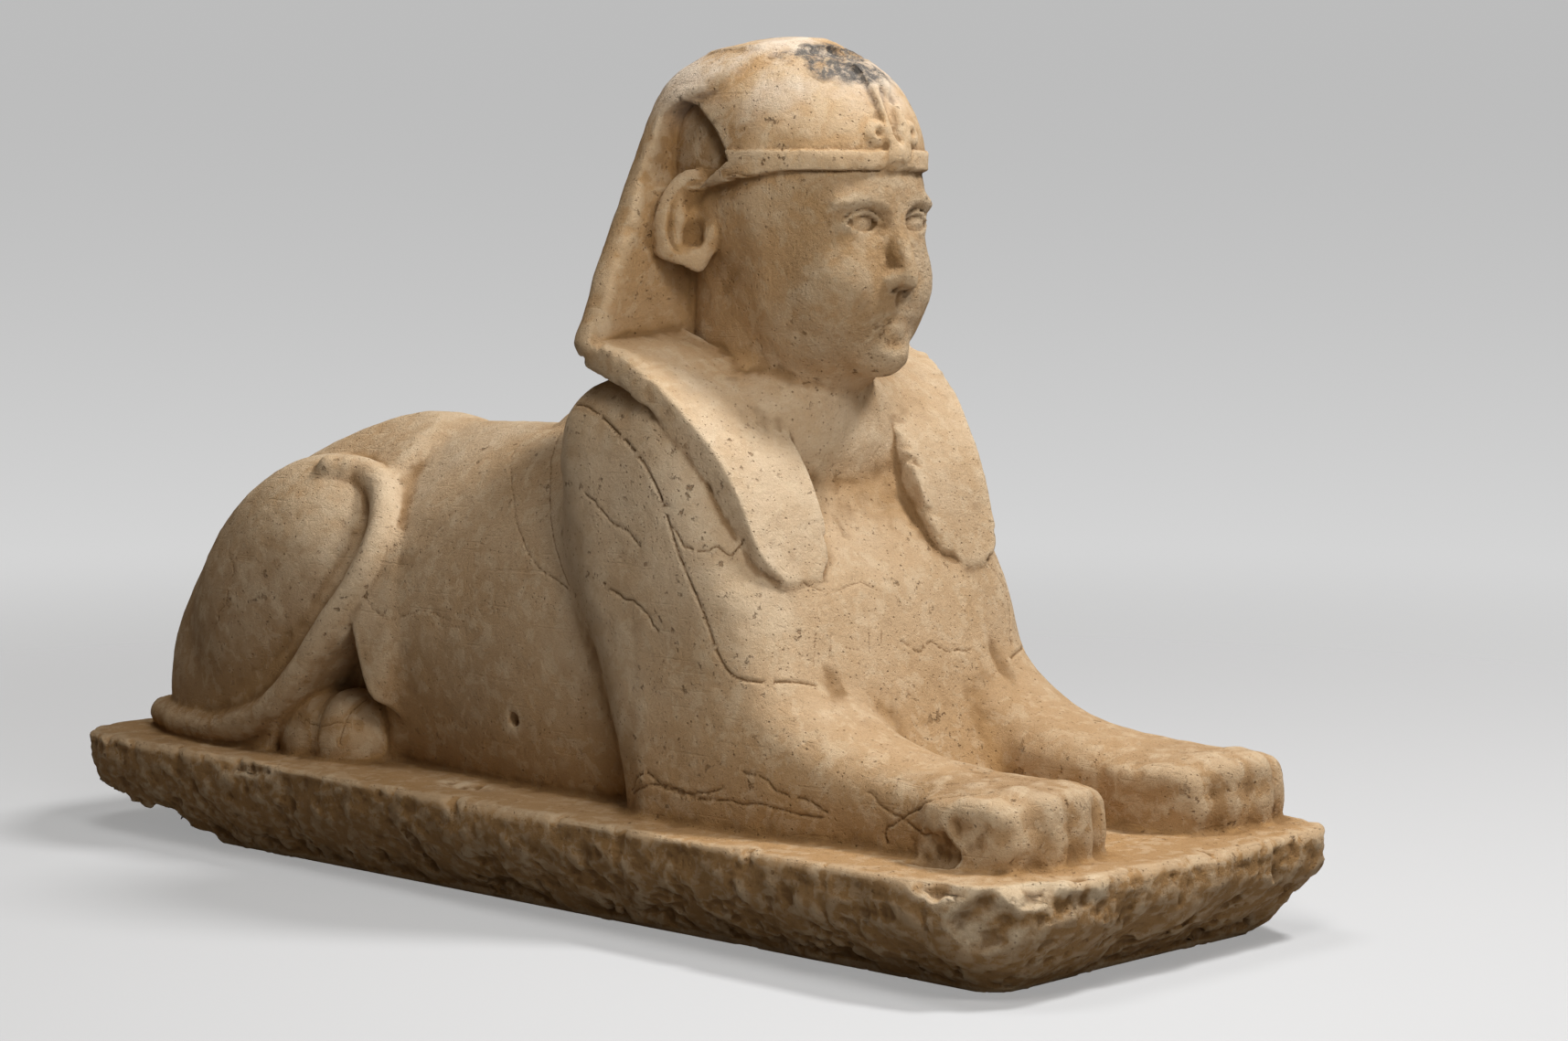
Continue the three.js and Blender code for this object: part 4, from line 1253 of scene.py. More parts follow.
class Weathering:
    """Moves the finished surface in and out by less than a few millimetres."""

    # Brown patches: painted shade on the haunches and flank, part stain and part painted shade on the
    # temples, paws and plinth front.
    STAINS_AND_SHADE = (
        ((-98, -158, 668), (34, 66, 52), 1.0),
        ((98, -158, 668), (34, 66, 52), 0.8),
        ((-170, 430, 190), (80, 180, 130), 0.75),
        ((-160, 120, 230), (70, 120, 130), 0.3),
        ((170, 400, 200), (60, 150, 110), 0.4),
        ((-115, -520, 135), (80, 100, 50), 0.7),
        ((115, -540, 140), (80, 90, 45), 0.35),
        ((0, -600, 100), (170, 50, 18), 0.3),
    )

    def __init__(self) -> None:
        """Makes the noise that every kind of wear draws on."""
        self.grain = Grain(SEED + 1)
        self.cells = np.random.default_rng(SEED + 2).uniform(0, 1, (24, 24, 24, 5))

    def pits(self, p: Array, spacing: float, radius: float) -> Array:
        """Round pits scattered in space.

        Args:
            p: Points, one to a row.
            spacing: Side of the cubes that hold one pit each.
            radius: The largest pit's radius.

        Returns:
            Depth between 0 and 1 at each point.
        """
        base = np.floor(p / spacing).astype(int)
        deepest_pit = np.zeros(len(p))
        for corner in range(27):
            step = np.array([corner % 3, corner // 3 % 3, corner // 9]) - 1
            cube = base + step
            i, j, k = (cube % len(self.cells)).T
            random = self.cells[i, j, k]
            centre = (cube + random[:, :3]) * spacing
            size = radius * (0.35 + 0.65 * random[:, 3])
            reach = np.linalg.norm(p - centre, axis=1) / size
            depth = np.clip(1 - reach * reach, 0, 1) * (random[:, 4] > 0.45)
            deepest_pit = np.maximum(deepest_pit, depth * (0.4 + 0.6 * random[:, 3]))
        return deepest_pit

    def rough_stone(self, p: Array, normal: Array) -> Array:
        """How much each point belongs to the plinth's rough sides, from 0 to 1."""
        side = ease((93 - p[:, 2]) / 9)
        return side * ease((0.9 - normal[:, 2]) / 0.35)

    def front_end(self, p: Array) -> Array:
        """How much each point belongs to the coarse front of the plinth, from 0 to 1."""
        return ease((-545 - p[:, 1]) / 50) * ease((96 - p[:, 2]) / 8)

    def crown_patch(self, p: Array) -> Array:
        """How much each point belongs to the rough grey patch on the crown, from 0 to 1.

        Args:
            p: Points, one to a row.

        Returns:
            The share at each point.
        """
        q = (p - [Carving.FIGURE_X - 8, -236, 748]) / [54, 56, 26]
        edge = 1.0 + 0.45 * self.grain.rough(p, 22) - np.linalg.norm(q, axis=1)
        return ease(edge / 0.3)

    def stained_and_shaded(self, p: Array) -> Array:
        """How brown each point is made, from 0 to 1: painted shade on the haunches and flank, part stain
        and part painted shade on the temples, paws and plinth front.

        Args:
            p: Points, one to a row.

        Returns:
            The strength of the brown at each point.
        """
        out = np.zeros(len(p))
        edge = 1.1 + 0.25 * self.grain.rough(p, 35)
        for place, size, share in self.STAINS_AND_SHADE:
            q = (p - place - [Carving.FIGURE_X, 0, 0]) / np.array(size)
            out = np.maximum(out, share * ease((edge - np.linalg.norm(q, axis=1)) / 0.5))
        return out

    def face_wear(self, p: Array) -> Array:
        """How much each point belongs to the worn front of the head, from 0 to 1."""
        return ease((-215 - p[:, 1]) / 40) * ease((p[:, 2] - 470) / 25) * ease((655 - p[:, 2]) / 10)

    def move(self, p: Array, normal: Array) -> Array:
        """How far each point goes along its normal.

        Args:
            p: Points on the surface.
            normal: The surface's normals there.

        Returns:
            Millimetres, negative into the stone.
        """
        grain = self.grain
        out = 0.8 * grain.rough(p, 70, 2) + 0.55 * grain.rough(p + 50, 16, 3)
        rough = self.rough_stone(p, normal)
        front = self.front_end(p)
        slanted = p @ np.array([[0.8, 0.0, 0.3], [0.3, 0.9, 0.5], [-0.5, 0.4, 0.9]])
        picks = np.abs(grain.rough(slanted * [1.0, 1.0, 0.35], 21, 3))
        layered = grain.rough(p * [1, 1, 2.2] + 31, 12, 3)
        out += rough * (3.2 * grain.rough(p, 60, 4) + 0.8 * layered - 1.2 * picks)
        out -= front * 2.4 * self.pits(p + 9, 13, 4.5)
        figure = 1 - rough
        out -= figure * 1.4 * np.clip(grain.rough(p + 7, 11, 2) - 0.85, 0, 1)
        out -= figure * 1.2 * self.pits(p, 31, 2.8) * ease(grain.at(p, 120) + 0.3)
        paws = ease((-430 - p[:, 1]) / 60) * ease((p[:, 2] - 100) / 10)
        out += paws * (0.9 * grain.rough(p + 13, 18, 3) - 0.9 * np.abs(grain.rough(p + 77, 30, 3)))
        worn = self.face_wear(p)
        out -= worn * (0.5 * self.pits(p + 5, 11, 3.0) + 0.55 * np.abs(grain.rough(p, 9, 3)))
        patch = self.crown_patch(p)
        out -= patch * (0.8 + 1.7 * grain.rough(p, 8, 3))
        return out * ease((p[:, 2] + 0.5) / 6)


# ---- From the field to a mesh ------------------------------------------------------------


class Lattice:
    """Meshes a field: one point in every small cube that the surface crosses."""

    BATCH = 200000  # points given to the field at a time
    LEVELS = (8, 4, 2, 1)
    REACH = 1.85  # how many steps of a coarse lattice the surface may lie away
    NUDGE, FURTHEST = 0.3, 0.6  # small cubes to probe the slope over, and to move at most
    LEAST_SLOPE = 0.15  # lowest square of the slope that is trusted

    def __init__(self, field: Callable[[Array], Array], low: Array, high: Array, step: float) -> None:
        """Takes the field, the corners of its box and the side of the small cubes.

        Args:
            field: The field.
            low: Lowest corner of the box.
            high: Highest corner.
            step: Side of the small cubes.
        """
        self.field = field
        self.low = low
        self.step = step
        blocks = np.ceil((high - low) / (step * self.LEVELS[0])).astype(int)
        self.shape = blocks * self.LEVELS[0] + 1
        self.value = np.full(self.shape, FAR, np.float32)
        self.known = np.zeros(self.shape, bool)

    def _corners(self, cells: Array, side: int) -> Array:
        """Lattice indices of the eight corners of each cube, as cubes by corners by three."""
        steps = np.array([[c & 1, c >> 1 & 1, c >> 2] for c in range(8)])
        return cells[:, None, :] + side * steps[None]

    def _know(self, nodes: Array) -> None:
        """Evaluates the field at those of the nodes that aren't known yet.

        Args:
            nodes: Lattice indices in rows of three.
        """
        flat = np.unique(np.ravel_multi_index(nodes.reshape(-1, 3).T, self.shape))
        flat = flat[~self.known.ravel()[flat]]
        for part in np.array_split(flat, max(len(flat) // self.BATCH, 1)):
            at = np.stack(np.unravel_index(part, self.shape), axis=-1)
            self.value.reshape(-1)[part] = self.field(self.low + at * self.step)
        self.known.reshape(-1)[flat] = True

    def _read(self, nodes: Array) -> Array:
        """The known values at lattice nodes."""
        return self.value[nodes[..., 0], nodes[..., 1], nodes[..., 2]]

    def crossed(self) -> Array:
        """Finds the small cubes that the surface passes through, coarse to fine.

        Returns:
            Lattice indices of the lowest corner of each small cube.
        """
        side = self.LEVELS[0]
        grid = np.meshgrid(*(np.arange(0, n - 1, side) for n in self.shape), indexing="ij")
        cells = np.stack(grid, axis=-1).reshape(-1, 3)
        for finer in (*self.LEVELS[1:], 0):
            nodes = self._corners(cells, side)
            self._know(nodes)
            values = self._read(nodes)
            if not finer:
                inside = (values < 0).sum(axis=1)
                return cells[(inside > 0) & (inside < 8)]
            near = np.abs(values).min(axis=1) < self.REACH * side * self.step
            cells = self._corners(cells[near], finer).reshape(-1, 3)
            side = finer
        return cells

    def _points(self, cells: Array) -> Array:
        """Puts a point in each small cube, amid the places where the surface cuts its edges.

        Args:
            cells: The cubes, as lattice indices of their lowest corners.

        Returns:
            One point for each cube, in the field's coordinates.
        """
        corners = self._corners(cells, 1)
        values = self._read(corners).astype(float)
        total = np.zeros((len(cells), 3))
        count = np.zeros(len(cells))
        for a in range(8):
            for bit in (1, 2, 4):
                if a & bit:
                    continue
                b = a | bit
                crossing = (values[:, a] < 0) != (values[:, b] < 0)
                span = values[:, a] - values[:, b]
                t = values[:, a] / np.where(crossing, span, 1.0)
                point = corners[:, a] + t[:, None] * (corners[:, b] - corners[:, a])
                total += np.where(crossing[:, None], point, 0)
                count += crossing
        return self.low + total / count[:, None] * self.step

    def _faces(self, cells: Array) -> Array:
        """Joins the points of the four cubes round each lattice edge that the surface cuts.

        Args:
            cells: The cubes, in the order of their points.

        Returns:
            Four-sided faces as rows of point numbers, turned outwards.
        """
        number = np.full(self.shape, -1, np.int32)
        number[tuple(cells.T)] = np.arange(len(cells))
        faces = []
        for axis in range(3):
            step = np.zeros(3, int)
            step[axis] = 1
            here = self._read(cells) < 0
            there = self._read(cells + step) < 0
            edge = cells[here != there]
            starts_inside = here[here != there]
            s, t = np.eye(3, dtype=int)[(axis + 1) % 3], np.eye(3, dtype=int)[(axis + 2) % 3]
            ring = [number[tuple((edge - k).T)] for k in (0 * s, s, s + t, t)]
            quad = np.stack(ring, axis=-1)
            quad = np.where(starts_inside[:, None], quad, quad[:, ::-1])
            faces.append(quad[(quad >= 0).all(axis=1)])
        return np.concatenate(faces)

    def mesh(self) -> tuple[Array, Array]:
        """Makes the mesh.

        Returns:
            Points in the field's coordinates, and four-sided faces as rows of point numbers.
        """
        cells = self.crossed()
        return self._points(cells), self._faces(cells)

    def settle(self, points: Array) -> tuple[Array, Array]:
        """Pulls points onto the surface.

        Args:
            points: Points within a small cube of the surface.

        Returns:
            The points on the surface and their outward normals.
        """
        nudge = self.NUDGE * self.step
        here = self.field(points)
        slope = np.stack([
            (self.field(points + nudge * axis) - here) / nudge for axis in np.eye(3)
        ], axis=-1)
        size = np.maximum(np.sum(slope**2, axis=1), self.LEAST_SLOPE)
        furthest = self.FURTHEST * self.step
        shift = np.clip(here / size, -furthest, furthest)
        return points - shift[:, None] * slope, slope / np.sqrt(size)[:, None]


def at_vertices(mesh: bpy.types.Mesh, what: str) -> Array:
    """Reads one vector for each point of a mesh.

    Args:
        mesh: The mesh.
        what: "co" for the places, or "normal" for the normals.

    Returns:
        One row of three numbers for each point.
    """
    values = np.empty(len(mesh.vertices) * 3)
    mesh.vertices.foreach_get(what, values)
    return values.reshape(-1, 3)


class Carver:
    """Turns the carving into a Blender mesh with its wear and fine lines."""

    LOW = np.array([-245.0, -650.0, -6.0])
    HIGH = np.array([245.0, 650.0, 785.0])
    STEP, QUICK_STEP = 2.7, 6.0
    TRIANGLES, QUICK_TRIANGLES = 168000, 60000
    BED = 1.2  # points lower than this lie flat on the underside
    LINE_EDGES = (3.6, 2.0)  # longest edges left beside the lines, pass by pass
    DIVIDE_MARGIN = 2.2  # how far beside a line the faces are divided
    LINE_REACH = 12.0  # how far beside a line a point may be measured from it
    LINE_SKIN = 11.0  # how far off the surface a line may run and still mark it

    def __init__(self, carving: Carving, box: tuple) -> None:
        """Takes the carving and the lowest and highest corner of the space for it.

        Args:
            carving: The carving.
            box: The two corners, in metres.
        """
        self.carving = carving
        self.box = box
        self.weathering = Weathering()
        self.step = self.STEP
        self.target = self.TRIANGLES

    def rough_out(self) -> tuple[Array, Array]:
        """Meshes the field and weathers it.

        Returns:
            Points in statue millimetres, and four-sided faces.
        """
        lattice = Lattice(self.carving, self.LOW, self.HIGH, self.step)
        points, faces = lattice.mesh()
        points, normal = lattice.settle(points)
        points += normal * self.weathering.move(points, normal)[:, None]
        points[:, 2] = np.where(points[:, 2] < self.BED, 0.0, points[:, 2])
        return points, faces

    def thin_out(self, points: Array, faces: Array) -> bpy.types.Mesh:
        """Keeps the triangles where the form needs them.

        Args:
            points: Points, one to a row.
            faces: Four-sided faces as rows of point numbers.

        Returns:
            The thinned mesh.
        """
        dense = bpy.data.meshes.new("dense")
        dense.from_pydata(points, [], faces)
        holder = bpy.data.objects.new("dense", dense)
        bpy.context.scene.collection.objects.link(holder)
        triangles = 2 * len(faces)
        fewer = holder.modifiers.new("fewer", "DECIMATE")
        fewer.ratio = min(1.0, self.target / triangles)
        graph = bpy.context.evaluated_depsgraph_get()
        thinned = bpy.data.meshes.new_from_object(holder.evaluated_get(graph))
        bpy.data.objects.remove(holder)
        bpy.data.meshes.remove(dense)
        return thinned

    def incise(self, mesh: bpy.types.Mesh) -> Array:
        """Cuts the fine lines into the mesh, dividing the faces beside them.

        Args:
            mesh: The thinned mesh, in millimetres.

        Returns:
            How deep in a line each point lies, from 0 to 1.
        """
        lines = []
        for n, line in enumerate((*INCISIONS, *PAW_CRACKS, *BREAST_STROKES)):
            for path in line.paths(SEED + n):
                lines.append((self.onto_surface(path), line.width, line.depth))
        work = bmesh.new()
        work.from_mesh(mesh)
        bmesh.ops.triangulate(work, faces=work.faces)
        for longest in self.LINE_EDGES:
            self._divide(work, lines, longest)
        work.normal_update()
        marked = self._sink(work, lines)
        work.to_mesh(mesh)
        work.free()
        return marked

    def _divide(self, work: bmesh.types.BMesh, lines: list[tuple], longest: float) -> None:
        """Halves the long edges beside the lines.

        Args:
            work: The mesh.
            lines: Path, width and depth of each line.
            longest: Length up to which an edge stays whole.
        """
        work.verts.index_update()
        points = np.array([v.co for v in work.verts])
        near = np.zeros(len(points), bool)
        for path, width, _ in lines:
            beside = width + self.DIVIDE_MARGIN
            near |= self._to_line(points, path, beside)[0] < beside
        chosen = set(near.nonzero()[0].tolist())
        edges = [
            e for e in work.edges
            if (e.verts[0].index in chosen or e.verts[1].index in chosen)
            and e.calc_length() > longest
        ]
        bmesh.ops.subdivide_edges(work, edges=edges, cuts=1)
        bmesh.ops.triangulate(work, faces=[f for f in work.faces if len(f.verts) > 3])

    def _sink(self, work: bmesh.types.BMesh, lines: list[tuple]) -> Array:
        """Presses the lines into the surface.

        Args:
            work: The mesh, with its normals up to date.
            lines: Path, width and depth of each line.

        Returns:
            How deep in a line each point lies, from 0 to 1.
        """
        points = np.array([v.co for v in work.verts])
        normals = np.array([v.normal for v in work.verts])
        deep = np.zeros(len(points))
        marked = np.zeros(len(points))
        for path, width, depth in lines:
            reach = width + self.LINE_REACH
            away, offset = self._to_line(points, path, reach)
            along_normal = np.sum(offset * normals, axis=1)
            flat = np.linalg.norm(offset - along_normal[:, None] * normals, axis=1)
            inside = (away < reach) & (np.abs(along_normal) < self.LINE_SKIN)
            share = np.where(inside, np.clip(1 - flat / width, 0, 1), 0)
            deep = np.maximum(deep, depth * share**0.8)
            marked = np.maximum(marked, share)
        for vertex, place in zip(work.verts, points - normals * deep[:, None]):
            vertex.co = place
        return marked

    def onto_surface(self, path: Array) -> Array:
        """Moves the points of a line onto the carving's surface.

        Args:
            path: The line's points.

        Returns:
            The points on the surface.
        """
        for _ in range(4):
            here = self.carving(path)
            slope = np.stack([(self.carving(path + axis) - here) for axis in np.eye(3)], axis=-1)
            size = np.maximum(np.sum(slope**2, axis=1), 0.2)
            path = path - np.clip(here / size, -14, 14)[:, None] * slope
        return path

    @staticmethod
    def _to_line(points: Array, path: Array, reach: float) -> tuple[Array, Array]:
        """Distance and offset from a path, for the points within reach of its box.

        Args:
            points: Points, one to a row.
            path: The line's points.
            reach: How far off a point may be.

        Returns:
            The distance from the path, and the step from it to each point.
        """
        away = np.full(len(points), FAR * 10)
        offset = np.zeros((len(points), 3))
        near = close_to(path, reach, points).nonzero()[0]
        for a, b in zip(path[:-1], path[1:]):
            p = points[near]
            along = b - a
            t = np.clip((p - a) @ along / max(along @ along, 1e-9), 0, 1)
            gap = p - a - t[:, None] * along
            size = np.linalg.norm(gap, axis=1)
            nearer = size < away[near]
            chosen = near[nearer]
            away[chosen] = size[nearer]
            offset[chosen] = gap[nearer]
        return away, offset

    def hollowness(self, mesh: bpy.types.Mesh, rounds: int) -> Array:
        """How sunk each point is among its neighbours, from -1 on an edge to 1 in a hollow.

        Args:
            mesh: The mesh.
            rounds: How far the look goes, in rounds of neighbours.

        Returns:
            The sinking at each point.
        """
        points = at_vertices(mesh, "co")
        edges = np.empty(len(mesh.edges) * 2, int)
        mesh.edges.foreach_get("vertices", edges)
        a, b = edges.reshape(-1, 2).T
        count = np.bincount(a, minlength=len(points)) + np.bincount(b, minlength=len(points))
        normals = at_vertices(mesh, "normal")

        def spread(values: Array) -> Array:
            """Mean of the neighbours' values."""
            total = np.bincount(a, values[b], len(points)) + np.bincount(b, values[a], len(points))
            return total / np.maximum(count, 1)

        smooth = points.copy()
        for _ in range(rounds):
            smooth = np.stack([spread(column) for column in smooth.T], axis=-1)
        rise = np.sum((smooth - points) * normals, axis=1)
        return np.clip(rise / (0.5 + 0.25 * rounds), -1, 1)

    def carve(self) -> bpy.types.Object:
        """Makes the finished piece.

        Returns:
            The piece, without a material yet.
        """
        points, faces = self.rough_out()
        LOG.info("rough mesh: %d faces", len(faces))
        mesh = self.thin_out(points, faces)
        marked = self.incise(mesh)
        LOG.info("finished mesh: %d triangles", len(mesh.polygons))
        self.mark(mesh, marked)
        self.place(mesh)
        piece = bpy.data.objects.new("sphinx_carving", mesh)
        bpy.context.scene.collection.objects.link(piece)
        return piece

    def mark(self, mesh: bpy.types.Mesh, lines: Array) -> None:
        """Stores on each point what the limestone needs to know about its place.

        Args:
            mesh: The mesh.
            lines: How deep in a line each point lies.
        """
        points = at_vertices(mesh, "co")
        normals = at_vertices(mesh, "normal")
        wear = self.weathering
        marks = {
            "line": lines,
            # The crevice and hollow marks carry painted shade into the limestone's creases and hollows.
            "crevice": self.hollowness(mesh, 3),
            "hollow": self.hollowness(mesh, 24),
            "crown_patch": wear.crown_patch(points),
            "rough_side": wear.rough_stone(points, normals),
            "broken": self.broken(points),
            "worn": np.maximum(wear.face_wear(points), wear.crown_patch(points)),
            "height": points[:, 2] / Head().crown,
            "stained_and_shaded": wear.stained_and_shaded(points),
        }
        for name, values in marks.items():
            store = mesh.attributes.new(name, "FLOAT", "POINT")
            store.data.foreach_set("value", values.astype(np.float32))

    def broken(self, points: Array) -> Array:
        """How freshly broken each point is, from 0 to 1.

        Args:
            points: Points, one to a row.

        Returns:
            The freshness at each point.
        """
        out = np.zeros(len(points))
        for chip in self.carving.chips:
            at, size = np.array(chip.at), np.array(chip.size)
            inside = ellipsoid(*(points - at).T, *(size * 1.12))
            out = np.maximum(out, ease((1.5 - inside) / 4))
        return out

    def place(self, mesh: bpy.types.Mesh) -> None:
        """Brings the mesh from statue millimetres to the frame's metres.

        Args:
            mesh: The mesh.
        """
        points = at_vertices(mesh, "co") * MM
        low, high = (np.array(corner) for corner in self.box)
        points[:, :2] += (low + high)[:2] / 2
        mesh.vertices.foreach_set("co", points.ravel())
        mesh.polygons.foreach_set("use_smooth", np.ones(len(mesh.polygons), bool))
        mesh.update()


# ---- Limestone -----------------------------------------------------------------------------


class NodeBoard:
    """Places and wires shader nodes in one tree."""

    def __init__(self, tree: bpy.types.NodeTree) -> None:
        """Takes the node tree to work in."""
        self.tree = tree

    def add(self, kind: str, settings: dict | None = None, **inputs: object) -> bpy.types.Node:
        """Adds a node.

        Args:
            kind: The node's type name without its ShaderNode prefix.
            settings: Properties of the node itself.
            inputs: Values or sockets by input name, with _ for a space.

        Returns:
            The node.
        """
        node = self.tree.nodes.new("ShaderNode" + kind)
        for name, value in (settings or {}).items():
            setattr(node, name, value)
        for name, value in inputs.items():
            self.feed(node.inputs[name.replace("_", " ")], value)
        return node

    def feed(self, socket: Socket, value: object) -> None:
        """Links a socket or sets a plain value.

        Args:
            socket: The input.
            value: Another socket, a number or a colour.
        """
        if isinstance(value, Socket):
            self.tree.links.new(value, socket)
        else:
            socket.default_value = value

    def math(self, operation: str, a: object, b: object) -> Socket:
        """One arithmetic step.

        Args:
            operation: The step's name.
            a: First value.
            b: Second value.

        Returns:
            The result.
        """
        node = self.add("Math", {"operation": operation})
        self.feed(node.inputs[0], a)
        self.feed(node.inputs[1], b)
        return node.outputs[0]

    def times(self, *values: object) -> Socket:
        """Multiplies any number of values.

        Args:
            values: Sockets or numbers.

        Returns:
            Their product, or the value itself where it is alone.
        """
        out = values[0]
        for value in values[1:]:
            out = self.math("MULTIPLY", out, value)
        return out

    def ramp(self, value: object, low: object, high: object, onto: tuple = (0.0, 1.0)) -> Socket:
        """Maps a range smoothly to another.

        Args:
            value: The value to map.
            low: Start of its range.
            high: End of its range, which may be the lower of the two.
            onto: The results at low and at high.

        Returns:
            The mapped value, held at the results beyond the range.
        """
        node = self.add("MapRange", {"interpolation_type": "SMOOTHSTEP"}, Value=value)
        for name, limit in zip(("From Min", "From Max", "To Min", "To Max"), (low, high, *onto)):
            self.feed(node.inputs[name], limit)
        return node.outputs["Result"]

    def noise(self, place: object, scale: float, detail: float, rough: float) -> Socket:
        """Fractal noise at a place."""
        node = self.add("TexNoise", None, Vector=place, Scale=scale, Detail=detail, Roughness=rough)
        return node.outputs[0]

    def group(self, name: str, **inputs: object) -> Socket:
        """Adds one of the shared groups and gives its mask."""
        node = self.add("Group", {"node_tree": bpy.data.node_groups[name]}, **inputs)
        return node.outputs["Mask"]

    def blend(self, share: object, a: object, b: object, kind: str = "MIX") -> Socket:
        """Mixes two colours.

        Args:
            share: How much of the second colour shows.
            a: First colour.
            b: Second colour.
            kind: How the second is laid on the first.

        Returns:
            The colour.
        """
        node = self.add("Mix", {"data_type": "RGBA", "blend_type": kind})
        self.feed(node.inputs[0], share)
        self.feed(node.inputs[6], a)
        self.feed(node.inputs[7], b)
        return node.outputs[2]


def mask_group(name: str, **inputs: float) -> tuple[NodeBoard, bpy.types.Node, Socket]:
    """Starts a shader group that turns a place into a mask.

    Args:
        name: The group's name.
        inputs: Its number inputs with their usual values.

    Returns:
        A board for the group, its input node and the socket that its mask goes to.
    """
    tree = bpy.data.node_groups.new(name, "ShaderNodeTree")
    face = tree.interface
    face.new_socket("Place", in_out="INPUT", socket_type="NodeSocketVector")
    for label, value in inputs.items():
        face.new_socket(label, in_out="INPUT", socket_type="NodeSocketFloat").default_value = value
    face.new_socket("Mask", in_out="OUTPUT", socket_type="NodeSocketFloat")
    source = tree.nodes.new("NodeGroupInput")
    sink = tree.nodes.new("NodeGroupOutput")
    return NodeBoard(tree), source, sink.inputs["Mask"]


def mottle_group() -> None:
    """Group that gives soft-edged patches of a chosen size and amount."""
    board, source, mask = mask_group("mottle", Scale=6.0, Amount=0.5, Softness=0.1)
    given = source.outputs
    noise = board.noise(given["Place"], given["Scale"], 5.0, 0.62)
    noise.node.inputs["Distortion"].default_value = 0.4
    middle = board.math("SUBTRACT", 0.68, board.times(given["Amount"], 0.36))
    low = board.math("SUBTRACT", middle, given["Softness"])
    high = board.math("ADD", middle, given["Softness"])
    board.feed(mask, board.ramp(noise, low, high))


def pits_group() -> None:
    """Group that gives small scattered pits: 1 at a pit's middle and 0 between pits."""
    board, source, mask = mask_group("pits", Scale=120.0, Width=0.3)
    given = source.outputs
    cells = board.add("TexVoronoi", None, Vector=given["Place"], Scale=given["Scale"])
    near = board.ramp(cells.outputs["Distance"], given["Width"], 0.0)
    chosen = board.add("SeparateColor", None, Color=cells.outputs["Color"])
    board.feed(mask, board.times(near, board.ramp(chosen.outputs[0], 0.5, 0.8)))


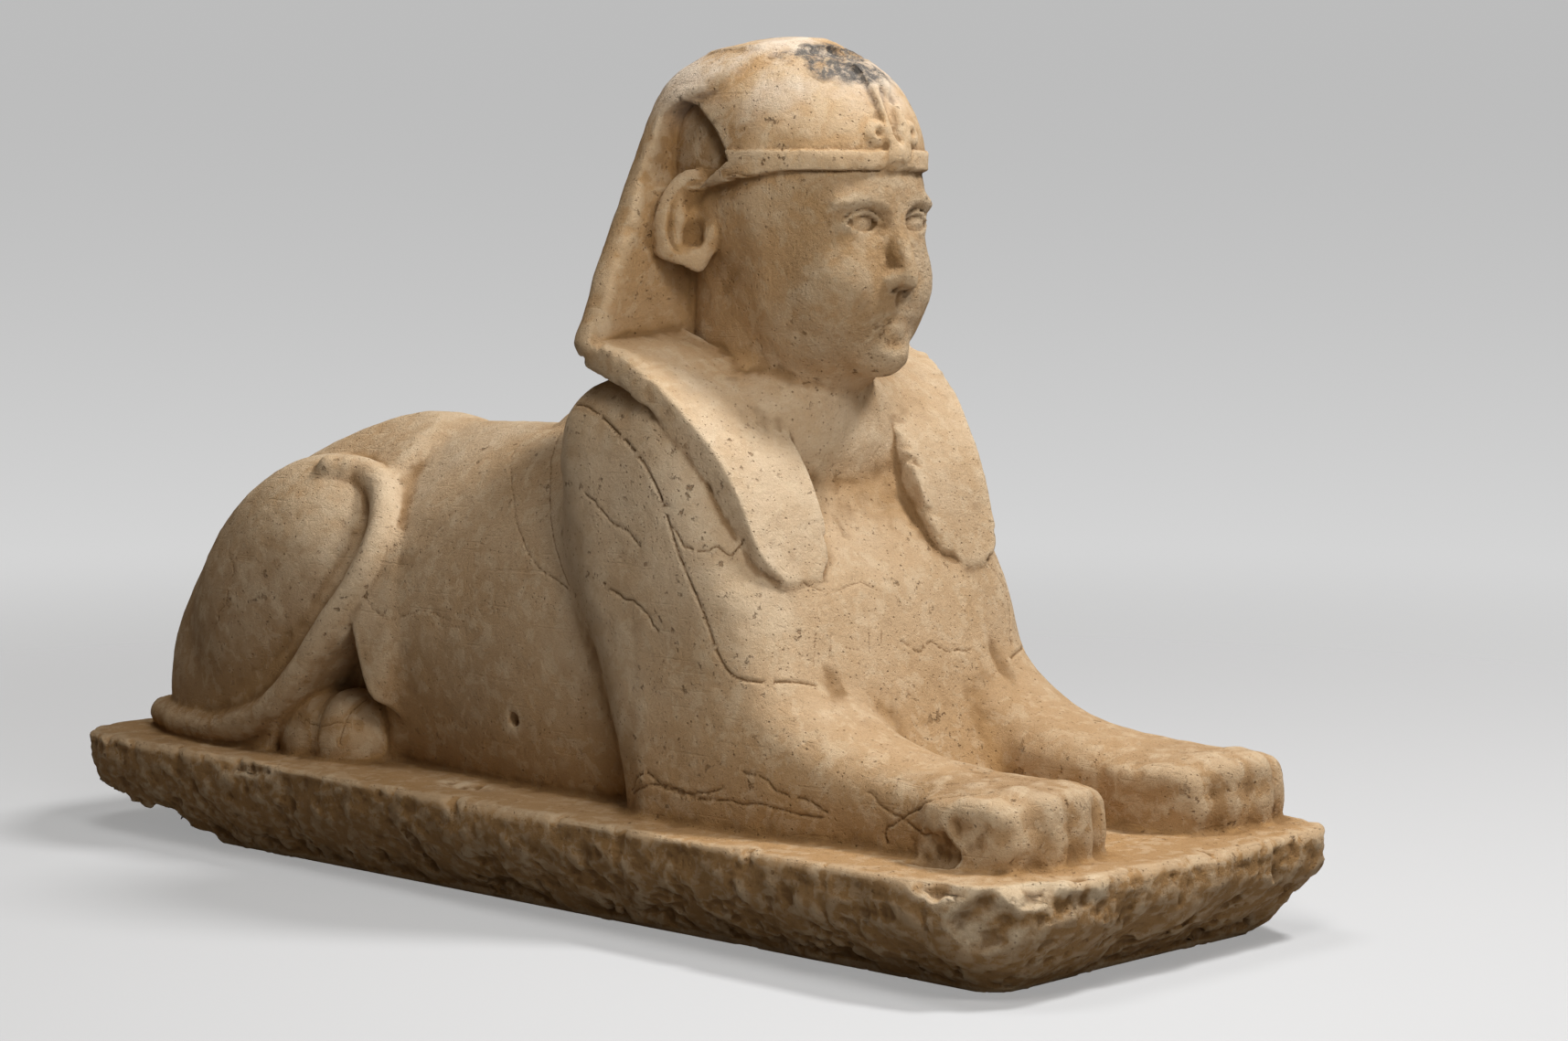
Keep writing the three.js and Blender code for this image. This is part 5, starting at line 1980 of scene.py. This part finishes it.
@dataclass(frozen=True)
class Limestone:
    """Warm beige limestone with ochre stains, grey growth and pale breaks, with painted shade in its
    hollows, creases, cut lines and pits, low down and on the haunches, and a painted highlight on the
    crown.
    """

    beige: tuple = (0.46, 0.335, 0.21, 1.0)
    pale: tuple = (0.59, 0.465, 0.325, 1.0)
    brown: tuple = (0.34, 0.185, 0.062, 1.0)
    ochre: tuple = (0.44, 0.245, 0.085, 1.0)
    grey: tuple = (0.12, 0.115, 0.11, 1.0)
    fresh: tuple = (0.66, 0.54, 0.38, 1.0)
    # Dark brown of those patches: painted shade on the haunches and flank, part stain and part painted
    # shade elsewhere.
    stain: tuple = (0.22, 0.12, 0.045, 1.0)
    # Pale top of the head: painted highlight on the crown, with bleached stone.
    bleach_and_highlight: tuple = (0.74, 0.70, 0.64, 1.0)
    # Dark earth of the plinth's patches, also the painted shade in creases, cut lines and pits.
    soil_and_shade: tuple = (0.16, 0.08, 0.025, 1.0)
    speck_dark: tuple = (0.22, 0.22, 0.22, 1.0)
    speck_light: tuple = (0.80, 0.80, 0.80, 1.0)
    roughness: float = 0.86
    roughness_spread: float = 0.08
    relief_depth: float = 0.0034

    SCRATCHES = (((0.5, 0.35, 0.8), 150.0), ((1.3, -0.4, 0.2), 120.0), ((0.1, 0.9, -0.7), 170.0))

    def material(self) -> bpy.types.Material:
        """Builds the material.

        Returns:
            The limestone, ready for the piece.
        """
        material = bpy.data.materials.new("limestone")
        material.use_nodes = True
        tree = material.node_tree
        tree.nodes.clear()
        mottle_group()
        pits_group()
        board = NodeBoard(tree)
        place = board.add("TexCoord").outputs["Object"]
        shader = board.add("BsdfPrincipled", None, Base_Color=self._tone(board, place))
        shader.inputs["Specular IOR Level"].default_value = 0.25
        grain = board.noise(place, 60.0, 6.0, 0.7)
        spread = (self.roughness - self.roughness_spread, self.roughness + self.roughness_spread)
        board.feed(shader.inputs["Roughness"], board.ramp(grain, 0.3, 0.7, spread))
        board.feed(shader.inputs["Normal"], self._relief(board, place))
        board.add("OutputMaterial", None, Surface=shader.outputs[0])
        return material

    def _patches(self, board: NodeBoard, place: Socket, scale: float, amount: float, soft: float) -> Socket:
        """Soft-edged patches."""
        return board.group("mottle", Place=place, Scale=scale, Amount=amount, Softness=soft)

    def _holes(self, board: NodeBoard, place: Socket, scale: float, width: float) -> Socket:
        """Small scattered pits."""
        return board.group("pits", Place=place, Scale=scale, Width=width)

    def _mark(self, board: NodeBoard, name: str) -> Socket:
        """Reads one of the marks stored on the mesh."""
        return board.add("Attribute", {"attribute_name": name}).outputs["Fac"]

    def _tone(self, board: NodeBoard, place: Socket) -> Socket:
        """Colour of the stone, with painted shade and a painted highlight laid into it.

        Args:
            board: The material's board.
            place: The place in the statue.

        Returns:
            The colour.
        """
        height = self._mark(board, "height")
        rough_side = self._mark(board, "rough_side")
        crevice = self._mark(board, "crevice")
        grain = board.ramp(board.noise(place, 5.0, 8.0, 0.68), 0.36, 0.64)
        tone = board.blend(grain, self.beige, self.pale)
        speck = board.noise(place, 520.0, 4.0, 0.75)
        specks = board.blend(speck, self.speck_dark, self.speck_light)
        stain = self._patches(board, place, 6.0, 0.75, 0.12)
        earth = self._patches(board, place, 8.0, 1.0, 0.16)
        foot = self._patches(board, place, 11.0, 1.3, 0.2)
        flaked = board.ramp(board.noise(place, 38.0, 3.0, 0.6), 0.35, 0.6)
        for colour, *masks in (
            (self.brown, self._patches(board, place, 3.2, 0.55, 0.16), 0.4),
            (self.ochre, stain, board.ramp(height, 0.45, 0.8, (0.18, 0.60))),
            (self.brown, rough_side, 0.5),
            (self.soil_and_shade, rough_side, earth, 0.4),
            # Browner towards the bottom: painted shade where the light falls off low down, with soiling of
            # the paws.
            (self.brown, board.ramp(height, 0.34, 0.11), foot, 0.7),
            # Brown patches: painted shade on the haunches and flank, part stain and part painted shade on
            # the temples, paws and plinth front.
            (self.stain, self._mark(board, "stained_and_shaded"), 0.6),
            (self.fresh, self._mark(board, "broken"), flaked, 0.6),
            (self.fresh, self._patches(board, place, 60.0, 0.35, 0.04), 0.22),
        ):
            tone = board.blend(board.times(*masks), tone, colour)
        tone = board.blend(0.42, tone, specks, "OVERLAY")
        dark = board.math("MAXIMUM", self._pits(board, place), self._worn_holes(board, place))
        dark = board.math("MAXIMUM", dark, self._fine_pits(board, place))
        growth = board.ramp(board.noise(place, 110.0, 6.0, 0.75), 0.40, 0.56)
        washed_and_lit = board.ramp(board.noise(place, 14.0, 5.0, 0.6), 0.36, 0.6)
        for colour, *masks in (
            # Painted shade: browner in the broad hollows.
            (self.brown, board.ramp(self._mark(board, "hollow"), 0.05, 0.8), 0.55),
            # Painted shade: darker in the narrow creases.
            (self.soil_and_shade, board.ramp(crevice, 0.10, 0.9), 0.6),
            (self.fresh, board.ramp(crevice, -0.10, -0.8), 0.3),
            # Painted shade: darker along the cut lines.
            (self.soil_and_shade, board.ramp(self._mark(board, "line"), 0.15, 0.9), 0.5),
            # Painted shade: darker in the small pits and holes.
            (self.soil_and_shade, dark, 0.62),
            # Paler at the top of the head: painted highlight on the crown, with bleached stone.
            (self.bleach_and_highlight, board.ramp(height, 0.88, 0.97), washed_and_lit, 0.45),
            (self.grey, self._mark(board, "crown_patch"), growth, 0.9),
        ):
            tone = board.blend(board.times(*masks), tone, colour)
        return tone

    def _pits(self, board: NodeBoard, place: Socket) -> Socket:
        """Round pits."""
        return self._holes(board, place, 150.0, 0.22)

    def _fine_pits(self, board: NodeBoard, place: Socket) -> Socket:
        """Pits of about half that size."""
        return self._holes(board, place, 260.0, 0.27)

    def _worn_holes(self, board: NodeBoard, place: Socket) -> Socket:
        """Small irregular hollows where softer grains have fallen out."""
        few = board.ramp(board.noise(place, 9.0, 3.0, 0.6), 0.42, 0.62)
        return board.times(board.ramp(board.noise(place, 105.0, 4.0, 0.6), 0.37, 0.31), few)

    def _scratches(self, board: NodeBoard, place: Socket, turn: tuple, scale: float) -> Socket:
        """Fine scratches that run one way.

        Args:
            board: The material's board.
            place: The place in the statue.
            turn: How the scratches' direction is turned, in radians.
            scale: How close together they lie.

        Returns:
            1 in a scratch and 0 beside it.
        """
        turned = board.add("Mapping", {"vector_type": "POINT"}, Vector=place)
        turned.inputs["Rotation"].default_value = turn
        turned.inputs["Scale"].default_value = (1.0, 0.05, 1.0)
        return board.ramp(board.noise(turned.outputs[0], scale, 2.0, 0.5), 0.66, 0.73)

    def _relief(self, board: NodeBoard, place: Socket) -> Socket:
        """Fine relief below the mesh: grains, small pits, scratches and tool marks.

        Args:
            board: The material's board.
            place: The place in the statue.

        Returns:
            The normal.
        """
        rough_side = self._mark(board, "rough_side")
        worn = board.times(self._mark(board, "worn"), 1.7)
        crusty = board.math("ADD", worn, board.times(rough_side, 1.2))
        height = board.times(board.noise(place, 420.0, 6.0, 0.72), 0.34)
        for raised in (
            (board.noise(place, 70.0, 9.0, 0.72), 0.9),
            (board.noise(place, 150.0, 8.0, 0.72), crusty),
            (board.noise(place, 38.0, 9.0, 0.74), rough_side, 2.2),
            (self._pits(board, place), -0.5),
            (self._fine_pits(board, place), -0.35),
            (self._worn_holes(board, place), -0.55),
            *((self._scratches(board, place, *lines), -0.12) for lines in self.SCRATCHES),
        ):
            height = board.math("ADD", height, board.times(*raised))
        bump = board.add("Bump", None, Height=height)
        bump.inputs["Strength"].default_value = 1.0
        bump.inputs["Distance"].default_value = self.relief_depth
        return bump.outputs[0]


# ---- Studio ---------------------------------------------------------------------------------


@dataclass(frozen=True)
class Lamp:
    """A soft lamp: where it stands, what it looks at, how large and how strong it is."""

    name: str
    at: tuple
    towards: tuple
    size: float
    watts: float
    tint: tuple = (1.0, 1.0, 1.0)

    def hang(self) -> None:
        """Puts the lamp in the scene."""
        data = bpy.data.lights.new(self.name, "AREA")
        data.shape = "DISK"
        data.size = self.size
        data.energy = self.watts
        data.color = self.tint
        lamp = bpy.data.objects.new(self.name, data)
        lamp.location = self.at
        sight = Vector(self.towards) - Vector(self.at)
        lamp.rotation_euler = sight.to_track_quat("-Z", "Y").to_euler()
        bpy.context.scene.collection.objects.link(lamp)


@dataclass(frozen=True)
class Studio:
    """Pale floor, soft light and the camera."""

    ambient: tuple = (0.074, 0.056, 0.036, 1.0)
    backdrop_high: tuple = (0.505, 0.505, 0.505, 1.0)
    backdrop_low: tuple = (0.79, 0.79, 0.79, 1.0)
    floor_tone: tuple = (0.50, 0.505, 0.515, 1.0)
    floor_radius: float = 5.0
    floor_cover: float = 0.62
    floor_fades_from: float = 0.16
    floor_fades_to: float = 0.7
    camera_at: tuple = (-2.255, -2.3311, 0.6086)
    camera_turn: float = 46.4
    camera_pitch: float = 4.9
    lens: float = 80.97
    lamps: tuple = (
        Lamp("key", (1.55, -1.75, 3.9), (0.0, -0.1, 0.35), 0.8, 190.0, (1.0, 0.99, 0.985)),
        Lamp("front", (-1.75, -3.05, 1.1), (0.0, -0.3, 0.35), 1.2, 19.0, (1.0, 0.985, 0.96)),
        Lamp("side", (-0.55, -1.1, 1.25), (-0.05, -0.25, 0.56), 0.5, 9.0, (1.0, 0.985, 0.96)),
        Lamp("top", (-0.3, 0.3, 3.2), (0.0, 0.0, 0.3), 1.2, 30.0),
    )

    def build(self) -> None:
        """Sets up the floor, the lamps, the surroundings and the camera."""
        self.floor()
        for lamp in self.lamps:
            lamp.hang()
        self.surroundings()
        bpy.context.scene.view_settings.view_transform = "Standard"
        self.camera()

    def surroundings(self) -> None:
        """A grey backdrop that grows paler downwards and lights the statue only a little."""
        world = bpy.data.worlds.new("studio")
        world.use_nodes = True
        board = NodeBoard(world.node_tree)
        glow = world.node_tree.nodes["Background"]
        way = board.add("TexCoord").outputs["Generated"]
        height = board.add("SeparateXYZ", None, Vector=way).outputs["Z"]
        seen = board.blend(board.ramp(height, 0.05, -0.22), self.backdrop_high, self.backdrop_low)
        direct = board.add("LightPath").outputs["Is Camera Ray"]
        board.feed(glow.inputs["Color"], board.blend(direct, self.ambient, seen))
        bpy.context.scene.world = world

    def floor(self) -> None:
        """Pale floor that fades into the surroundings far off."""
        mesh = bpy.data.meshes.new("floor")
        work = bmesh.new()
        bmesh.ops.create_circle(work, cap_ends=True, segments=96, radius=self.floor_radius)
        work.to_mesh(mesh)
        work.free()
        floor = bpy.data.objects.new("floor", mesh)
        floor.location.z = -0.0005
        bpy.context.scene.collection.objects.link(floor)
        material = bpy.data.materials.new("pale_floor")
        material.use_nodes = True
        board = NodeBoard(material.node_tree)
        shader = material.node_tree.nodes["Principled BSDF"]
        shader.inputs["Base Color"].default_value = self.floor_tone
        shader.inputs["Roughness"].default_value = 0.9
        place = board.add("TexCoord").outputs["Object"]
        away = board.add("VectorMath", {"operation": "LENGTH"}, Vector=place).outputs["Value"]
        near, far = self.floor_fades_from * self.floor_radius, self.floor_fades_to * self.floor_radius
        fade = board.ramp(away, near, far, (self.floor_cover, 0.0))
        board.feed(shader.inputs["Alpha"], fade)
        mesh.materials.append(material)
        floor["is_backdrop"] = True

    def camera(self) -> None:
        """Camera looking at the statue's right front."""
        data = bpy.data.cameras.new("camera")
        data.lens = self.lens
        data.sensor_width = 36.0
        data.clip_end = 100.0
        camera = bpy.data.objects.new("camera", data)
        camera.location = self.camera_at
        camera.rotation_euler = (
            math.radians(90.0 - self.camera_pitch),
            0.0,
            -math.radians(self.camera_turn),
        )
        bpy.context.scene.collection.objects.link(camera)
        bpy.context.scene.camera = camera


def main() -> None:
    """Carves and dresses the statue, and lights it."""
    logging.basicConfig(level=logging.INFO, format="%(name)s: %(message)s")
    Studio().build()
    carving = Carving(broken_places())
    piece = Carver(carving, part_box("sphinx")).carve()
    piece.data.materials.append(Limestone().material())
    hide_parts("sphinx")
    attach(piece, "root")
    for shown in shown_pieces():
        LOG.info("%s: %d faces", shown.name, len(shown.data.polygons))
    corners = {"cad": CAD_BOX, "visual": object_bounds()}
    boxes = {name: [list(map(float, corner)) for corner in box] for name, box in corners.items()}


if __name__ == "__main__":
    main()
